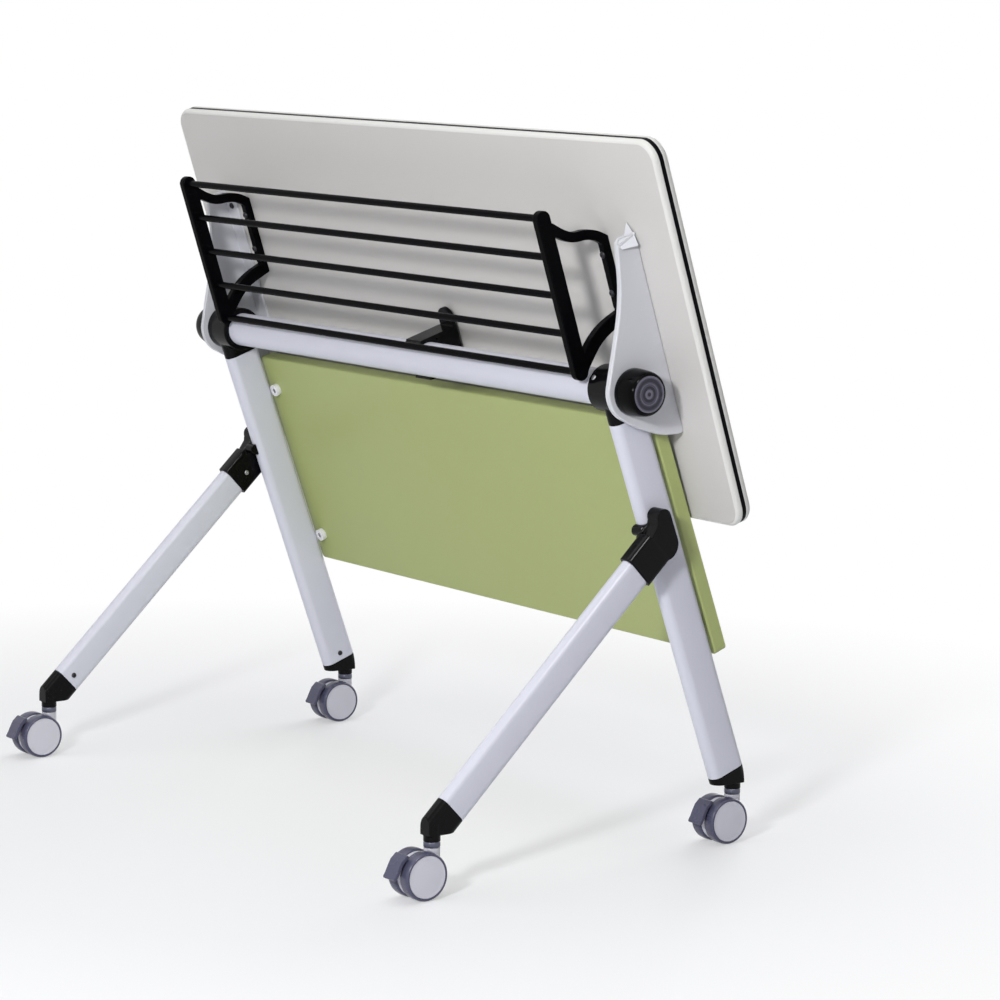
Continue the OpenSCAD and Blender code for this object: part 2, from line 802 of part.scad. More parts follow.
module flip_handle() {
    inner = beam_diameter / 2 + fit;
    outer = inner + handle_ring;
    face = pivot_to_top - handle_gap;
    color(black) top_frame() translate([handle_aside, 0, 0]) difference() {
        union() {
            yz_plate(-handle_width / 2, handle_width / 2) difference() {
                union() {
                    circle(r = outer);
                    translate([-inner / 3, inner]) square([face - paddle_thickness + inner / 3, handle_arm]);
                    polygon([[0, 0], [inner, inner + handle_arm / 2], [face - paddle_thickness / 2, inner + handle_arm / 2],
                        [face - paddle_thickness / 2, -paddle_low], [inner, -paddle_low - handle_ring]]);
                }
                polygon([[0, 0], 2 * outer * [cos(252), sin(252)], [-2 * outer, -2 * outer], [-2 * outer, 2 * outer],
                    [-0.36 * outer, 2 * outer], [-0.36 * outer, inner]]);
            }
            translate([0, face - paddle_thickness, 0]) rotate([-90, 0, 0]) linear_extrude(paddle_thickness) {
                translate([-paddle_width / 2, -paddle_top + paddle_width / 2])
                    square([paddle_width, paddle_top + paddle_low - paddle_width / 2]);
                translate([0, -paddle_top + paddle_width / 2]) circle(d = paddle_width);
            }
        }
        x_rod(-handle_width, handle_width, 2 * inner);
    }
}

// Casters. Each is built round its stem's foot on the floor, with the wheels behind it at -Y.
collar_diameter = 22.6;
spindle_diameter = 7;
spindle_length = 11;
neck_diameter = 22;
neck_length = 20;
hood_radius_share = 0.92;
housing_clearance = 0.4;
rim_round = 3;
disc_diameter = 57;
disc_depth = 2.5;
wheel_radius = wheel_diameter / 2;
axle_end = wheel_gap / 2 + wheel_width - disc_depth - gap;
brake_pivot = wheel_radius * [-0.54, 0.52];
brake_pin = 4;
brake_root = 9;
tongue_width = 4.4;
pedal_width = 26;
pedal_thickness = 5;

stem_places = [["fl", -half_front, front_stem_y], ["fr", half_front, front_stem_y],
    ["rl", -half_span, rear_stem_y], ["rr", half_span, rear_stem_y]];

module caster_stems() {
    color(caster_dark) for (p = stem_places) translate([p[1], p[2], caster_height]) {
        cylinder(d = collar_diameter, h = collar_height);
        cylinder(d = stem_diameter, h = collar_height + stem_bore_depth - over);
        translate([0, 0, -spindle_length]) cylinder(d = spindle_diameter, h = spindle_length + over);
    }
}

module at_caster(i) {
    translate([stem_places[i][1], stem_places[i][2], 0]) children();
}

module at_axle(i) {
    at_caster(i) translate([0, -caster_trail, wheel_radius]) children();
}

module housing(i) {
    plate = wheel_gap / 2 - housing_clearance;
    color(caster_light) difference() {
        union() {
            at_axle(i) x_rod(-plate, plate, wheel_diameter * hood_radius_share);
            difference() {
                at_caster(i) translate([0, 0, caster_height - gap - neck_length])
                    cylinder(d = neck_diameter, h = neck_length);
                at_axle(i) for (s = [-1, 1])
                    side(s) x_rod(plate, wheel_gap + wheel_width, wheel_diameter + 2 * housing_clearance);
            }
        }
        at_caster(i) translate([0, 0, caster_height - spindle_length - gap])
            cylinder(d = spindle_diameter + 2 * fit, h = spindle_length + over);
        at_axle(i) {
            x_rod(-wheel_gap, wheel_gap, axle_diameter + 2 * fit);
            difference() {
                yz_plate(-tongue_width / 2 - gap, tongue_width / 2 + gap) brake_room();
                brake_pin_along(wheel_gap, brake_pin);
            }
        }
    }
}

module brake_pin_along(x, d) {
    translate([0, brake_pivot[0], brake_pivot[1]]) x_rod(-x, x, d);
}

// The space in the hood where the brake lever's root swings
module brake_room() {
    translate(brake_pivot) circle(d = brake_root + 5 * gap);
    for (a = [0, brake_travel]) translate(brake_pivot) rotate(a)
        translate([-wheel_radius, -brake_root / 2 - gap]) square([wheel_radius, brake_root + 2 * gap]);
}

// Brake lever: a root on a pin between the wheels, and a wide pedal behind them
module brake(i) {
    reach = pedal_reach - caster_trail;
    color(caster_dark) at_axle(i) difference() {
        union() {
            yz_plate(-tongue_width / 2, tongue_width / 2)
                stroke([brake_pivot, [-wheel_radius, brake_pivot[1]]], brake_root);
            yz_plate(-pedal_width / 2, pedal_width / 2) stroke([
                [-wheel_radius * 0.78, wheel_radius * 0.86], [-wheel_radius, wheel_radius * 0.66],
                [-wheel_radius * 1.14, wheel_radius * 0.4], [-wheel_radius * 1.24, wheel_radius * 0.18],
                [-reach + pedal_thickness / 2, wheel_radius * 0.02]], pedal_thickness);
        }
        brake_pin_along(wheel_gap, brake_pin + 2 * fit);
    }
}

module axle(i) {
    color(steel) at_axle(i) x_rod(-axle_end, axle_end, axle_diameter);
}

// One wheel, cupped towards the housing and recessed for its disc; s is the side it is on
module wheel(i, s) {
    x0 = wheel_gap / 2;
    color(caster_dark) at_axle(i) side(s) translate([x0, 0, 0]) rotate([0, 90, 0]) difference() {
        union() {
            translate([0, 0, rim_round]) cylinder(r = wheel_radius, h = wheel_width - 2 * rim_round);
            translate([0, 0, wheel_width - rim_round]) rotate_extrude()
                translate([wheel_radius - rim_round, 0]) intersection() {
                    circle(r = rim_round);
                    square(rim_round);
                }
            cylinder(r = wheel_radius - rim_round, h = wheel_width);
            translate([0, 0, rim_round]) rotate_extrude() translate([wheel_radius - rim_round, 0]) intersection() {
                circle(r = rim_round);
                translate([0, -rim_round]) square(rim_round);
            }
        }
        translate([0, 0, -over]) cylinder(d = axle_diameter + 2 * fit, h = wheel_width + 2 * over);
        translate([0, 0, wheel_width - disc_depth]) cylinder(d = disc_diameter, h = disc_depth + over);
    }
}

module disc(i, s) {
    color(caster_light) at_axle(i) side(s) translate([wheel_gap / 2 + wheel_width - disc_depth, 0, 0])
        rotate([0, 90, 0]) cylinder(d = disc_diameter - 2 * fit, h = disc_depth);
}

side(-1) main_leg();  // main_leg_left
side(1) main_leg();  // main_leg_right
side(-1) front_leg();  // front_leg_left
side(1) front_leg();  // front_leg_right
side(-1) leg_joint();  // leg_joint_left
side(1) leg_joint();  // leg_joint_right
side(-1) hub();  // hub_left
side(1) hub();  // hub_right
front_feet();
rear_feet();
leg_screws();
modesty_panel();
panel_spacers();
panel_screws();
caster_stems();
top_board();
edge_band();
edge_stripe();
side(-1) bracket();  // bracket_left
side(1) bracket();  // bracket_right
top_screws();
pivot_shafts();
knobs();
knob_faces();
side(-1) rack_side();  // rack_side_left
side(1) rack_side();  // rack_side_right
rack_rods();
cross_beam();
beam_plugs();
flip_handle();
side(-1) latch_pin();  // latch_pin_left
side(1) latch_pin();  // latch_pin_right
housing(0);  // housing_fl
axle(0);  // axle_fl
brake(0);  // brake_fl
wheel(0, 1);  // wheel_fl_in
disc(0, 1);  // disc_fl_in
wheel(0, -1);  // wheel_fl_out
disc(0, -1);  // disc_fl_out
housing(1);  // housing_fr
axle(1);  // axle_fr
brake(1);  // brake_fr
wheel(1, -1);  // wheel_fr_in
disc(1, -1);  // disc_fr_in
wheel(1, 1);  // wheel_fr_out
disc(1, 1);  // disc_fr_out
housing(2);  // housing_rl
axle(2);  // axle_rl
brake(2);  // brake_rl
wheel(2, 1);  // wheel_rl_in
disc(2, 1);  // disc_rl_in
wheel(2, -1);  // wheel_rl_out
disc(2, -1);  // disc_rl_out
housing(3);  // housing_rr
axle(3);  // axle_rr
brake(3);  // brake_rr
wheel(3, -1);  // wheel_rr_in
disc(3, -1);  // disc_rr_in
wheel(3, 1);  // wheel_rr_out
disc(3, 1);  // disc_rr_out
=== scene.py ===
import json
import math

import bmesh
import bpy
from bpy.props import FloatProperty, FloatVectorProperty, IntProperty, PointerProperty
from mathutils import Matrix, Vector


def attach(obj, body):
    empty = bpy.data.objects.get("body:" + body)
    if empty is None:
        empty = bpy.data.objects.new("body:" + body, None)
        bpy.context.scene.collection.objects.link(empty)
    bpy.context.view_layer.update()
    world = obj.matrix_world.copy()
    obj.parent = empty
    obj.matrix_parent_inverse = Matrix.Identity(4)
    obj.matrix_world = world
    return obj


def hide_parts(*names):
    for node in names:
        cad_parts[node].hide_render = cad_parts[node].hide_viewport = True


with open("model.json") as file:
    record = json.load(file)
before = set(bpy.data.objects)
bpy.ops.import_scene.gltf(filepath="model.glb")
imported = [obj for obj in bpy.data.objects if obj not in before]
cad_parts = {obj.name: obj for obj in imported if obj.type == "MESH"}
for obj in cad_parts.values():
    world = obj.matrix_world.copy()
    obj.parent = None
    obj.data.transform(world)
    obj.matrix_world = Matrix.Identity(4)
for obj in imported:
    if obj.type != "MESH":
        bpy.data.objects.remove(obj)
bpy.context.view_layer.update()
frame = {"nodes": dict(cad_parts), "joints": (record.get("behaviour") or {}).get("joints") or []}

bl_info = {
    "name": "Flip Top Training Table",
    "version": (1, 0, 0),
    "blender": (4, 5, 0),
    "location": "3D View > Sidebar > Training Table",
    "description": "Dresses the packed training table: tubes, mouldings, top, rack, casters and stage",
    "category": "Add Mesh",
}

PLACES = {j["name"]: Vector(j["pos_m"]) for j in frame["joints"] if "pos_m" in j}
PIVOT = PLACES["top_flip"]
CASTERS = ("fl", "fr", "rl", "rr")
SIDES = (("left", -1), ("right", 1))
MM = 0.001

# In metres
REAR_SEAM = (-0.014, 0.026)  # y and z from a rear stem and the foot's underside to the end of the tube
FRONT_SEAM = (0.029, 0.038)  # the same at a front leg
LIP = 0.0003  # chamfer of the panel's rim and of the lips round the stripe
RIM_FALL = 0.00005  # how far the rim's outer edge lies below its inner one
TIGHTEST = 0.004  # smallest corner radius of the panel's loops
SMALL_EASING = 0.0008  # easing of the wing's inner edge and slope of its hollow

# In millimetres
JOINT_WALL = 1.5  # wall of the leg joint's sleeve
WING_GAP = 23.3  # from the middle of a main leg to the wing's inner face
WING_FOOT = 32.6  # how far the wing's upper end stands out from the top

# Camera: yaw, pitch and roll in radians, focal length in millimetres, place in metres
CAMERA_TURNS = (-0.942412, -0.144718, 0.0116136)
CAMERA_LENS = 127.18
CAMERA_FROM_PIVOT = (4.2142, -2.8996, 0.5356)

# Lamps: name, place, what it points at, side of its square, power in watts
LAMPS = (
    ("window", (2.06, -2.73, 1.68), (0, 0, 0.55), 0.42, 84),
    ("overhead", (-0.3, -0.5, 3.2), (0, 0, 0.4), 3.0, 45),
    ("back_fill", (-1.4, 3.6, 1.7), (0, 0.1, 0.5), 2.6, 64),
    ("gloss_strip", (2.6, -0.5, 2.55), (0.5, 0.1, 0.45), 0.6, 50),
)


def turned(degrees, axis):
    return Matrix.Rotation(math.radians(degrees), 4, axis)


def leaned(radians):
    return Matrix.Rotation(radians, 4, "X")


def moved(x, y, z):
    return Matrix.Translation((x, y, z))


# Kinds of setting
def length(name, mm, note):
    return FloatProperty(name=name, description=note, default=mm * MM, min=0.0001, soft_max=2.0,
                         unit="LENGTH", subtype="DISTANCE", precision=4)


def angle(name, degrees, note):
    return FloatProperty(name=name, description=note, default=math.radians(degrees), unit="ROTATION",
                         subtype="ANGLE")


def share(name, value, note):
    return FloatProperty(name=name, description=note, default=value, min=0.0, max=1.0, subtype="FACTOR")


def count(name, value, least, most, note):
    return IntProperty(name=name, description=note, default=value, min=least, max=most)


def colour(name, red, green, blue, note):
    linear = [((c / 255 + 0.055) / 1.055) ** 2.4 if c > 10 else c / 255 / 12.92 for c in (red, green, blue)]
    return FloatVectorProperty(name=name, description=note, size=3, default=linear, min=0.0, max=1.0,
                               subtype="COLOR")


class LegSettings(bpy.types.PropertyGroup):
    lean: angle("Main leg lean", 20, "How far the main legs lean back from upright")
    main_width: length("Main tube width", 57, "Long side of the main leg's flat-oval tube")
    main_thickness: length("Main tube thickness", 25, "Short side of the main leg's tube")
    front_width: length("Front tube width", 49, "Long side of the front leg's flat-oval tube")
    front_thickness: length("Front tube thickness", 22, "Short side of the front leg's tube")
    span: length("Leg spread", 492, "From the middle of the table to the middle of a main leg")
    joint_drop: length("Joint drop", 204, "From the pivot down the main leg to the joint")
    sleeve_drop: length("Hub sleeve", 42, "From the pivot down to the seam below the hub")
    joint_seam: length("Joint sleeve", 79, "From the joint down the front leg to the sleeve's seam")
    foot_height: length("Foot height", 74, "From the floor to the underside of a foot")
    seam_edge: length("Seam edge", 0.5, "Small chamfer where a tube meets its moulding")


class CastSettings(bpy.types.PropertyGroup):
    fine: length("Fine skin", 0.55, "Cell size for the skin of small mouldings")
    finest: length("Finest skin", 0.4, "Cell size for the skin of the spacers and the caster's mouldings")
    coarse: length("Coarse skin", 0.8, "Cell size for the skin of large mouldings")
    softness: count("Edge softness", 6, 0, 30, "How often the edges of a moulding are eased")
    small_softness: count("Small edge softness", 4, 0, 30, "The same for mouldings with the finest skin")
    kept: share("Detail kept", 0.4, "Share of the skin's faces that is kept")


class PanelSettings(bpy.types.PropertyGroup):
    drop: length("Panel drop", 64, "From the pivot down the legs to the panel's upper edge")
    height: length("Panel height", 352, "Height of the modesty panel")
    depth: length("Panel depth", 20, "Depth of the panel's folded edge")
    sheet: length("Panel sheet", 1.5, "Thickness of the sheet")
    corner: length("Panel corner", 8, "Corner radius of the panel")
    fold: length("Fold radius", 3, "Outer radius of the fold")
    gap: length("Panel gap", 4.5, "From the leg's rear edge to the panel's face")
    lap: length("Panel lap", 7, "How far the panel reaches past the middle of a main leg")


class TopSettings(bpy.types.PropertyGroup):
    long_side: length("Top length", 1200, "Length of the table top")
    short_side: length("Top depth", 550, "Depth of the table top")
    thickness: length("Top thickness", 25, "Thickness of the table top")
    corner: length("Top corner", 30, "Corner radius of the table top")
    band: length("Edge band", 5, "Width and rounding of the soft edge band")
    stripe: length("Stripe height", 7, "Height of the dark stripe in the band")
    stripe_depth: length("Stripe depth", 1.5, "Depth of the stripe's groove")
    stripe_sink: length("Stripe sink", 0.3, "How far the stripe lies below the band")
    seam: length("Board seam", 0.5, "Chamfer between the board and its band")
    stand_off: length("Pivot to top", 66, "From the pivot to the underside of the top")
    tilt: angle("Folded tilt", 18, "How far the folded top leans back from upright")
    ahead: share("Share above the pivot", 0.604, "Share of the top's depth above the pivot when folded")


class BracketSettings(bpy.types.PropertyGroup):
    plate: length("Wing thickness", 8, "Thickness of the wing plate")
    reach: length("Wing height", 204, "From the pivot to the wing's upper end")
    skirt: length("Wing skirt", 84, "From the pivot to the wing's lower end")
    nose: length("Wing nose", 41, "Radius of the wing round the pivot")
    edge: length("Wing edge", 2.6, "Rounding of the wing's outer edge")
    knob: length("Knob diameter", 66, "Diameter of the pivot knob")
    knob_length: length("Knob length", 36, "Length of the pivot knob")
    knob_taper: length("Knob taper", 1.9, "How much narrower the knob is at its face")
    face: length("Knob face", 50, "Diameter of the ringed grey face")
    tip_drop: length("Wing tip hollow", 9, "How far the hollow reaches down the wing's outer face")
    tip_wall: length("Wing tip wall", 1.4, "Wall round the hollow at the wing's upper end")


class RackSettings(bpy.types.PropertyGroup):
    rod: length("Rod diameter", 10, "Diameter of the rack's rods")
    half: length("Rod half length", 449, "From the middle to a rod's end in the side bar")
    first: length("First rod", 32, "From the pivot to the lowest rod, along the top")
    last: length("Last rod", 251, "From the pivot to the highest rod, along the top")
    stand: length("Rack stand-off", 29, "From the pivot's level to the rods, away from the top")
    rods: count("Rods", 5, 2, 9, "Number of rods in the rack")
    beam: length("Beam diameter", 50, "Diameter of the cross beam")
    beam_half: length("Beam half length", 464.7, "From the middle to the end of the beam")


class CasterSettings(bpy.types.PropertyGroup):
    wheel: length("Wheel diameter", 65, "Diameter of a caster wheel")
    width: length("Wheel width", 19, "Width of one wheel")
    gap: length("Wheel gap", 9, "Space between the two wheels of a caster")
    disc: length("Disc diameter", 57, "Diameter of the light cover disc")
    collar: length("Collar diameter", 22.6, "Diameter of the collar under a foot")
    collar_height: length("Collar height", 8, "Height of the collar")


class FinishSettings(bpy.types.PropertyGroup):
    wing: colour("Wing paint", 201, 202, 208, "Pale powder coat of the wing brackets")
    paint: colour("Leg paint", 205, 206, 218, "Pale powder coat of the legs and the beam")
    moulding: colour("Black moulding", 9, 9, 11, "Satin black of joints, hubs, feet and handle")
    rack: colour("Rack black", 7, 7, 9, "Black coating of the book rack")
    gloss: colour("Knob black", 5, 5, 6, "Gloss black of the pivot knobs")
    knob_face: colour("Knob face", 74, 73, 86, "Grey of the ringed knob face")
    knob_ring: colour("Knob ring", 104, 102, 116, "Light rings of the knob face")
    knob_band: colour("Knob band", 52, 51, 61, "Dark bands of the knob face")
    laminate: colour("Laminate", 199, 197, 195, "Melamine faces of the board")
    band: colour("Edge band", 214, 214, 211, "Soft band round the board")
    stripe: colour("Edge stripe", 9, 8, 11, "Dark stripe in the band")
    panel: colour("Panel green", 163, 173, 111, "Powder coat of the modesty panel")
    spacer: colour("Spacer white", 226, 226, 230, "Plastic of the panel's spacers")
    steel: colour("Zinc", 158, 158, 162, "Plated screws, pins and shafts")
    # Darker screw finish, used at the feet and on the top; the same leg screws get zinc at the joints and
    # hubs
    screw: colour("Dark screws", 44, 43, 48, "Dark plated screws of the feet and the top")
    collar: colour("Dark plating", 88, 90, 106, "Caster stems and collars")
    caster_dark: colour("Wheel grey", 76, 76, 98, "Wheels and brake pedals")
    caster_light: colour("Cover grey", 200, 200, 210, "Cover discs and caster hoods")
    floor: colour("Floor", 236, 237, 241, "Studio floor")


# Shapes
def quarter_turn(steps):
    return [math.pi / 2 * k / steps for k in range(steps + 1)]


def round_loop(bm, wide, high, radius, level, steps):
    """A loop with straight sides and round corners, flat at one level."""
    made = bmesh.ops.create_circle(bm, cap_ends=False, radius=radius, segments=4 * steps,
                                   matrix=turned(45 / steps, "Z"))
    verts = made["verts"]
    for sx in (-1, 1):
        for sy in (-1, 1):
            corner = [v for v in verts if v.co.x * sx > 0 and v.co.y * sy > 0]
            middle = (sx * (wide / 2 - radius), sy * (high / 2 - radius), level)
            bmesh.ops.translate(bm, verts=corner, vec=middle)
    return verts


def oval_loop(bm, width, thickness, level):
    return round_loop(bm, thickness, width, thickness / 2, level, 10)


def edges_of(verts):
    inside = set(verts)
    near = {e for v in verts for e in v.link_edges}
    return [e for e in near if e.verts[0] in inside and e.verts[1] in inside]


def bridge(bm, loops, closed=False):
    """Bridges loop after loop, then joins the last to the first or closes both ends."""
    for one, two in zip(loops, loops[1:]):
        bmesh.ops.bridge_loops(bm, edges=edges_of(one) + edges_of(two))
    if closed:
        bmesh.ops.bridge_loops(bm, edges=edges_of(loops[-1]) + edges_of(loops[0]))
    else:
        for loop in (loops[0], loops[-1]):
            bmesh.ops.contextual_create(bm, geom=edges_of(loop))
    return bm


def lathe(profile, steps):
    """Turns a line of (radius, height) points, in millimetres, round Z."""
    bm = bmesh.new()
    verts = [bm.verts.new((r * MM, 0, h * MM)) for r, h in profile]
    edges = [bm.edges.new(pair) for pair in zip(verts, verts[1:])]
    bmesh.ops.spin(bm, geom=verts + edges, cent=(0, 0, 0), axis=(0, 0, 1), angle=math.tau, steps=steps,
                   use_merge=True, use_duplicate=False)
    bmesh.ops.remove_doubles(bm, verts=bm.verts, dist=1e-6)
    return bm


def outline_plate(points, low, high):
    """A plate in YZ from corner points (y, z, start of the rounding), in millimetres, between two X."""
    bm = bmesh.new()
    verts = [bm.verts.new((low * MM, y * MM, z * MM)) for y, z, _ in points]
    bm.faces.new(verts)
    for vert, (_, _, easing) in zip(verts, points):
        bmesh.ops.bevel(bm, geom=[vert], offset=easing * MM, offset_type="OFFSET",
                        segments=max(3, int(easing / 2)), profile=0.5, affect="VERTICES", material=-1,
                        clamp_overlap=True)
    grown = bmesh.ops.extrude_face_region(bm, geom=list(bm.faces))["geom"]
    far = [g for g in grown if isinstance(g, bmesh.types.BMVert)]
    bmesh.ops.translate(bm, verts=far, vec=((high - low) * MM, 0, 0))
    return bm


def ease(bm, edges, width, segments=3):
    bmesh.ops.bevel(bm, geom=list(edges), offset=width, offset_type="OFFSET", segments=segments,
                    profile=0.5, affect="EDGES", material=-1, clamp_overlap=True)


def block(low, high, easing):
    """A block between two corners in millimetres, with eased edges."""
    bm = bmesh.new()
    size = [b - a for a, b in zip(low, high)]
    middle = [(a + b) / 2 * MM for a, b in zip(low, high)]
    bmesh.ops.create_cube(bm, size=MM, matrix=Matrix.Translation(middle) @ Matrix.Diagonal((*size, 1)))
    ease(bm, bm.edges, easing * MM)
    return bm


def placed(bm, *steps):
    matrix = Matrix.Identity(4)
    for step in steps:
        matrix = matrix @ step
    bmesh.ops.transform(bm, matrix=matrix, verts=bm.verts)
    return bm


def mirrored(bm, side):
    if side < 0:
        bmesh.ops.scale(bm, vec=(-1, 1, 1), verts=bm.verts)
        bmesh.ops.reverse_faces(bm, faces=bm.faces)
    return bm


def joined(shapes):
    whole, carrier = bmesh.new(), bpy.data.meshes.new("carrier")
    for shape in shapes:
        shape.to_mesh(carrier)
        whole.from_mesh(carrier)
        shape.free()
    bpy.data.meshes.remove(carrier)
    return whole


def from_frame(node):
    """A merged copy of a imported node, to shape further."""
    bm = bmesh.new()
    bm.from_mesh(frame["nodes"][node].data)
    bmesh.ops.remove_doubles(bm, verts=bm.verts, dist=2e-6)
    return bm


def plain_object(name, bm):
    mesh = bpy.data.meshes.new(name)
    bm.to_mesh(mesh)
    bm.free()
    thing = bpy.data.objects.new(name, mesh)
    bpy.context.scene.collection.objects.link(thing)
    return thing


def moulded(shape, cell, passes, kept):
    """Melts shells that run through each other into one skin with eased edges."""
    thing = plain_object("melt", shape)
    skin = thing.modifiers.new("skin", "REMESH")
    skin.mode, skin.voxel_size = "VOXEL", cell
    soft = thing.modifiers.new("soft edges", "SMOOTH")
    soft.factor, soft.iterations = 0.5, passes
    thing.modifiers.new("fewer faces", "DECIMATE").ratio = kept
    bpy.context.view_layer.update()
    melted = thing.evaluated_get(bpy.context.evaluated_depsgraph_get())
    result = bpy.data.meshes.new_from_object(melted)
    bm = bmesh.new()
    bm.from_mesh(result)
    source = thing.data
    bpy.data.objects.remove(thing)
    for mesh in (result, source):
        bpy.data.meshes.remove(mesh)
    return bm


def piece(name, bm, body, nodes, finish, crease=38, even=False):
    """Turns a finished shape into a piece that rides on a body and stands for its nodes."""
    bmesh.ops.recalc_face_normals(bm, faces=bm.faces)
    for face in bm.faces:
        face.smooth = True
    for edge in bm.edges:
        edge.smooth = not edge.is_manifold or edge.calc_face_angle(0) < math.radians(crease)
    thing = plain_object(name, bm)
    thing.data.materials.append(material(finish))
    if even:
        shade = thing.modifiers.new("even shading", "WEIGHTED_NORMAL")
        shade.keep_sharp = True
    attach(thing, body)
    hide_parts(*nodes)


def moulded_piece(name, node, cell, body, slot, finish, shape=None):
    """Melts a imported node, or the shape given for it, and puts the result in the node's place."""
    cast = bpy.context.scene.table_casts
    passes = cast.small_softness if cell == "finest" else cast.softness
    if shape is None:
        shape = from_frame(node)
    piece(name, moulded(shape, getattr(cast, cell), passes, cast.kept), body, [node], finish)


def dressed(node, finish):
    """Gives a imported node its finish."""
    for place in frame["nodes"][node].material_slots:
        place.material = material(finish)


# Effects that the finishes share
def effect(name, inputs, output, build):
    """A shader node group on a place, built once."""
    if name in bpy.data.node_groups:
        return bpy.data.node_groups[name]
    group = bpy.data.node_groups.new(name, "ShaderNodeTree")
    group.interface.new_socket(name="Vector", in_out="INPUT", socket_type="NodeSocketVector")
    for label, value in inputs.items():
        kind = "NodeSocketFloat" if isinstance(value, float) else "NodeSocketColor"
        group.interface.new_socket(name=label, in_out="INPUT", socket_type=kind).default_value = value
    kind = "NodeSocketColor" if output == "Colour" else "NodeSocketFloat"
    group.interface.new_socket(name=output, in_out="OUTPUT", socket_type=kind)
    start, end = group.nodes.new("NodeGroupInput"), group.nodes.new("NodeGroupOutput")
    group.links.new(build(group, start.outputs), end.inputs[output])
    return group


def preset(node, **settings):
    for label, value in settings.items():
        node.inputs[label.replace("_", " ")].default_value = value
    return node


def noise(group, vector, scale, detail, roughness=0.5):
    node = preset(group.nodes.new("ShaderNodeTexNoise"), Detail=detail, Roughness=roughness)
    group.links.new(vector, node.inputs["Vector"])
    if isinstance(scale, (int, float)):
        node.inputs["Scale"].default_value = scale
    else:
        group.links.new(scale, node.inputs["Scale"])
    return node.outputs["Fac"]


def maths(group, operation, *values):
    node = group.nodes.new("ShaderNodeMath")
    node.operation = operation
    for socket, value in zip(node.inputs, values):
        if isinstance(value, (int, float)):
            socket.default_value = value
        else:
            group.links.new(value, socket)
    return node.outputs[0]


def seen(tree):
    """One where the camera looks, straight on, by way of a reflection or through glass."""
    paths = tree.nodes.new("ShaderNodeLightPath").outputs
    first = maths(tree, "MAXIMUM", paths["Is Camera Ray"], paths["Is Glossy Ray"])
    return maths(tree, "MAXIMUM", first, paths["Is Transmission Ray"])


def mix_shaders(tree, share_of_second, first, second, end):
    """Mixes two shaders into a tree's output."""
    mix = tree.nodes.new("ShaderNodeMixShader")
    for given, socket in zip((share_of_second, first.outputs[0], second.outputs[0]), mix.inputs):
        tree.links.new(given, socket)
    tree.links.new(mix.outputs[0], tree.nodes[end].inputs["Surface"])


def between(group, value, low, high, to_low, to_high):
    node = preset(group.nodes.new("ShaderNodeMapRange"), From_Min=low, From_Max=high, To_Min=to_low,
                  To_Max=to_high)
    group.links.new(value, node.inputs["Value"])
    return node.outputs["Result"]


def stretched(group, vector, scale, turn):
    node = preset(group.nodes.new("ShaderNodeMapping"), Scale=scale, Rotation=turn)
    group.links.new(vector, node.inputs["Vector"])
    return node.outputs[0]


def tone_drift():
    """Slow, faint changes of tone, as a coating or moulding has between its thick and thin places."""
    def build(group, given):
        slow = noise(group, given["Vector"], given["Scale"], 3)
        fine = noise(group, given["Vector"], 900, 2)
        blend = maths(group, "MULTIPLY_ADD", fine, 0.3, maths(group, "MULTIPLY", slow, 0.7))
        swing = maths(group, "MULTIPLY", maths(group, "SUBTRACT", blend, 0.5), given["Amount"])
        scale = group.nodes.new("ShaderNodeVectorMath")
        scale.operation = "SCALE"
        group.links.new(given["Colour"], scale.inputs[0])
        group.links.new(maths(group, "ADD", swing, 1.0), scale.inputs["Scale"])
        return scale.outputs[0]
    return effect("Tone drift", {"Colour": (0.5, 0.5, 0.5, 1), "Scale": 6.0, "Amount": 0.1}, "Colour", build)


def handling():
    """Roughness with soft wiped patches and a few fine rubbed lines."""
    def build(group, given):
        patches = between(group, noise(group, given["Vector"], 14, 4), 0.35, 0.7, -1.0, 1.0)
        along = stretched(group, given["Vector"], (40, 420, 60), (0.4, 0.2, 0.7))
        lines = between(group, noise(group, along, 1.0, 2), 0.62, 0.72, 0.0, 1.0)
        both = maths(group, "ADD", patches, lines)
        return maths(group, "MULTIPLY_ADD", both, given["Amount"], given["Roughness"])
    return effect("Handling", {"Roughness": 0.4, "Amount": 0.04}, "Roughness", build)


def orange_peel():
    """Height of a coating that has flowed: soft small waves with a finer ripple."""
    def build(group, given):
        waves = noise(group, given["Vector"], given["Scale"], 1)
        ripple = noise(group, given["Vector"], maths(group, "MULTIPLY", given["Scale"], 3.3), 2)
        return maths(group, "MULTIPLY_ADD", ripple, 0.35, waves)
    return effect("Orange peel", {"Scale": 500.0}, "Height", build)


def mould_grain():
    """Height of an etched mould: tight pits with rounded lands."""
    def build(group, given):
        cells = group.nodes.new("ShaderNodeTexVoronoi")
        cells.feature = "SMOOTH_F1"
        group.links.new(given["Vector"], cells.inputs["Vector"])
        group.links.new(given["Scale"], cells.inputs["Scale"])
        ripple = noise(group, given["Vector"], maths(group, "MULTIPLY", given["Scale"], 0.45), 3)
        return maths(group, "MULTIPLY_ADD", ripple, 0.6, cells.outputs["Distance"])
    return effect("Mould grain", {"Scale": 1400.0}, "Height", build)


def brushing():
    """Height of fine parallel strokes on plated steel."""
    def build(group, given):
        return noise(group, stretched(group, given["Vector"], (3000, 240, 240), (0, 0, 0)), 1.0, 3, 0.6)
    return effect("Brushing", {"Scale": 1.0}, "Height", build)


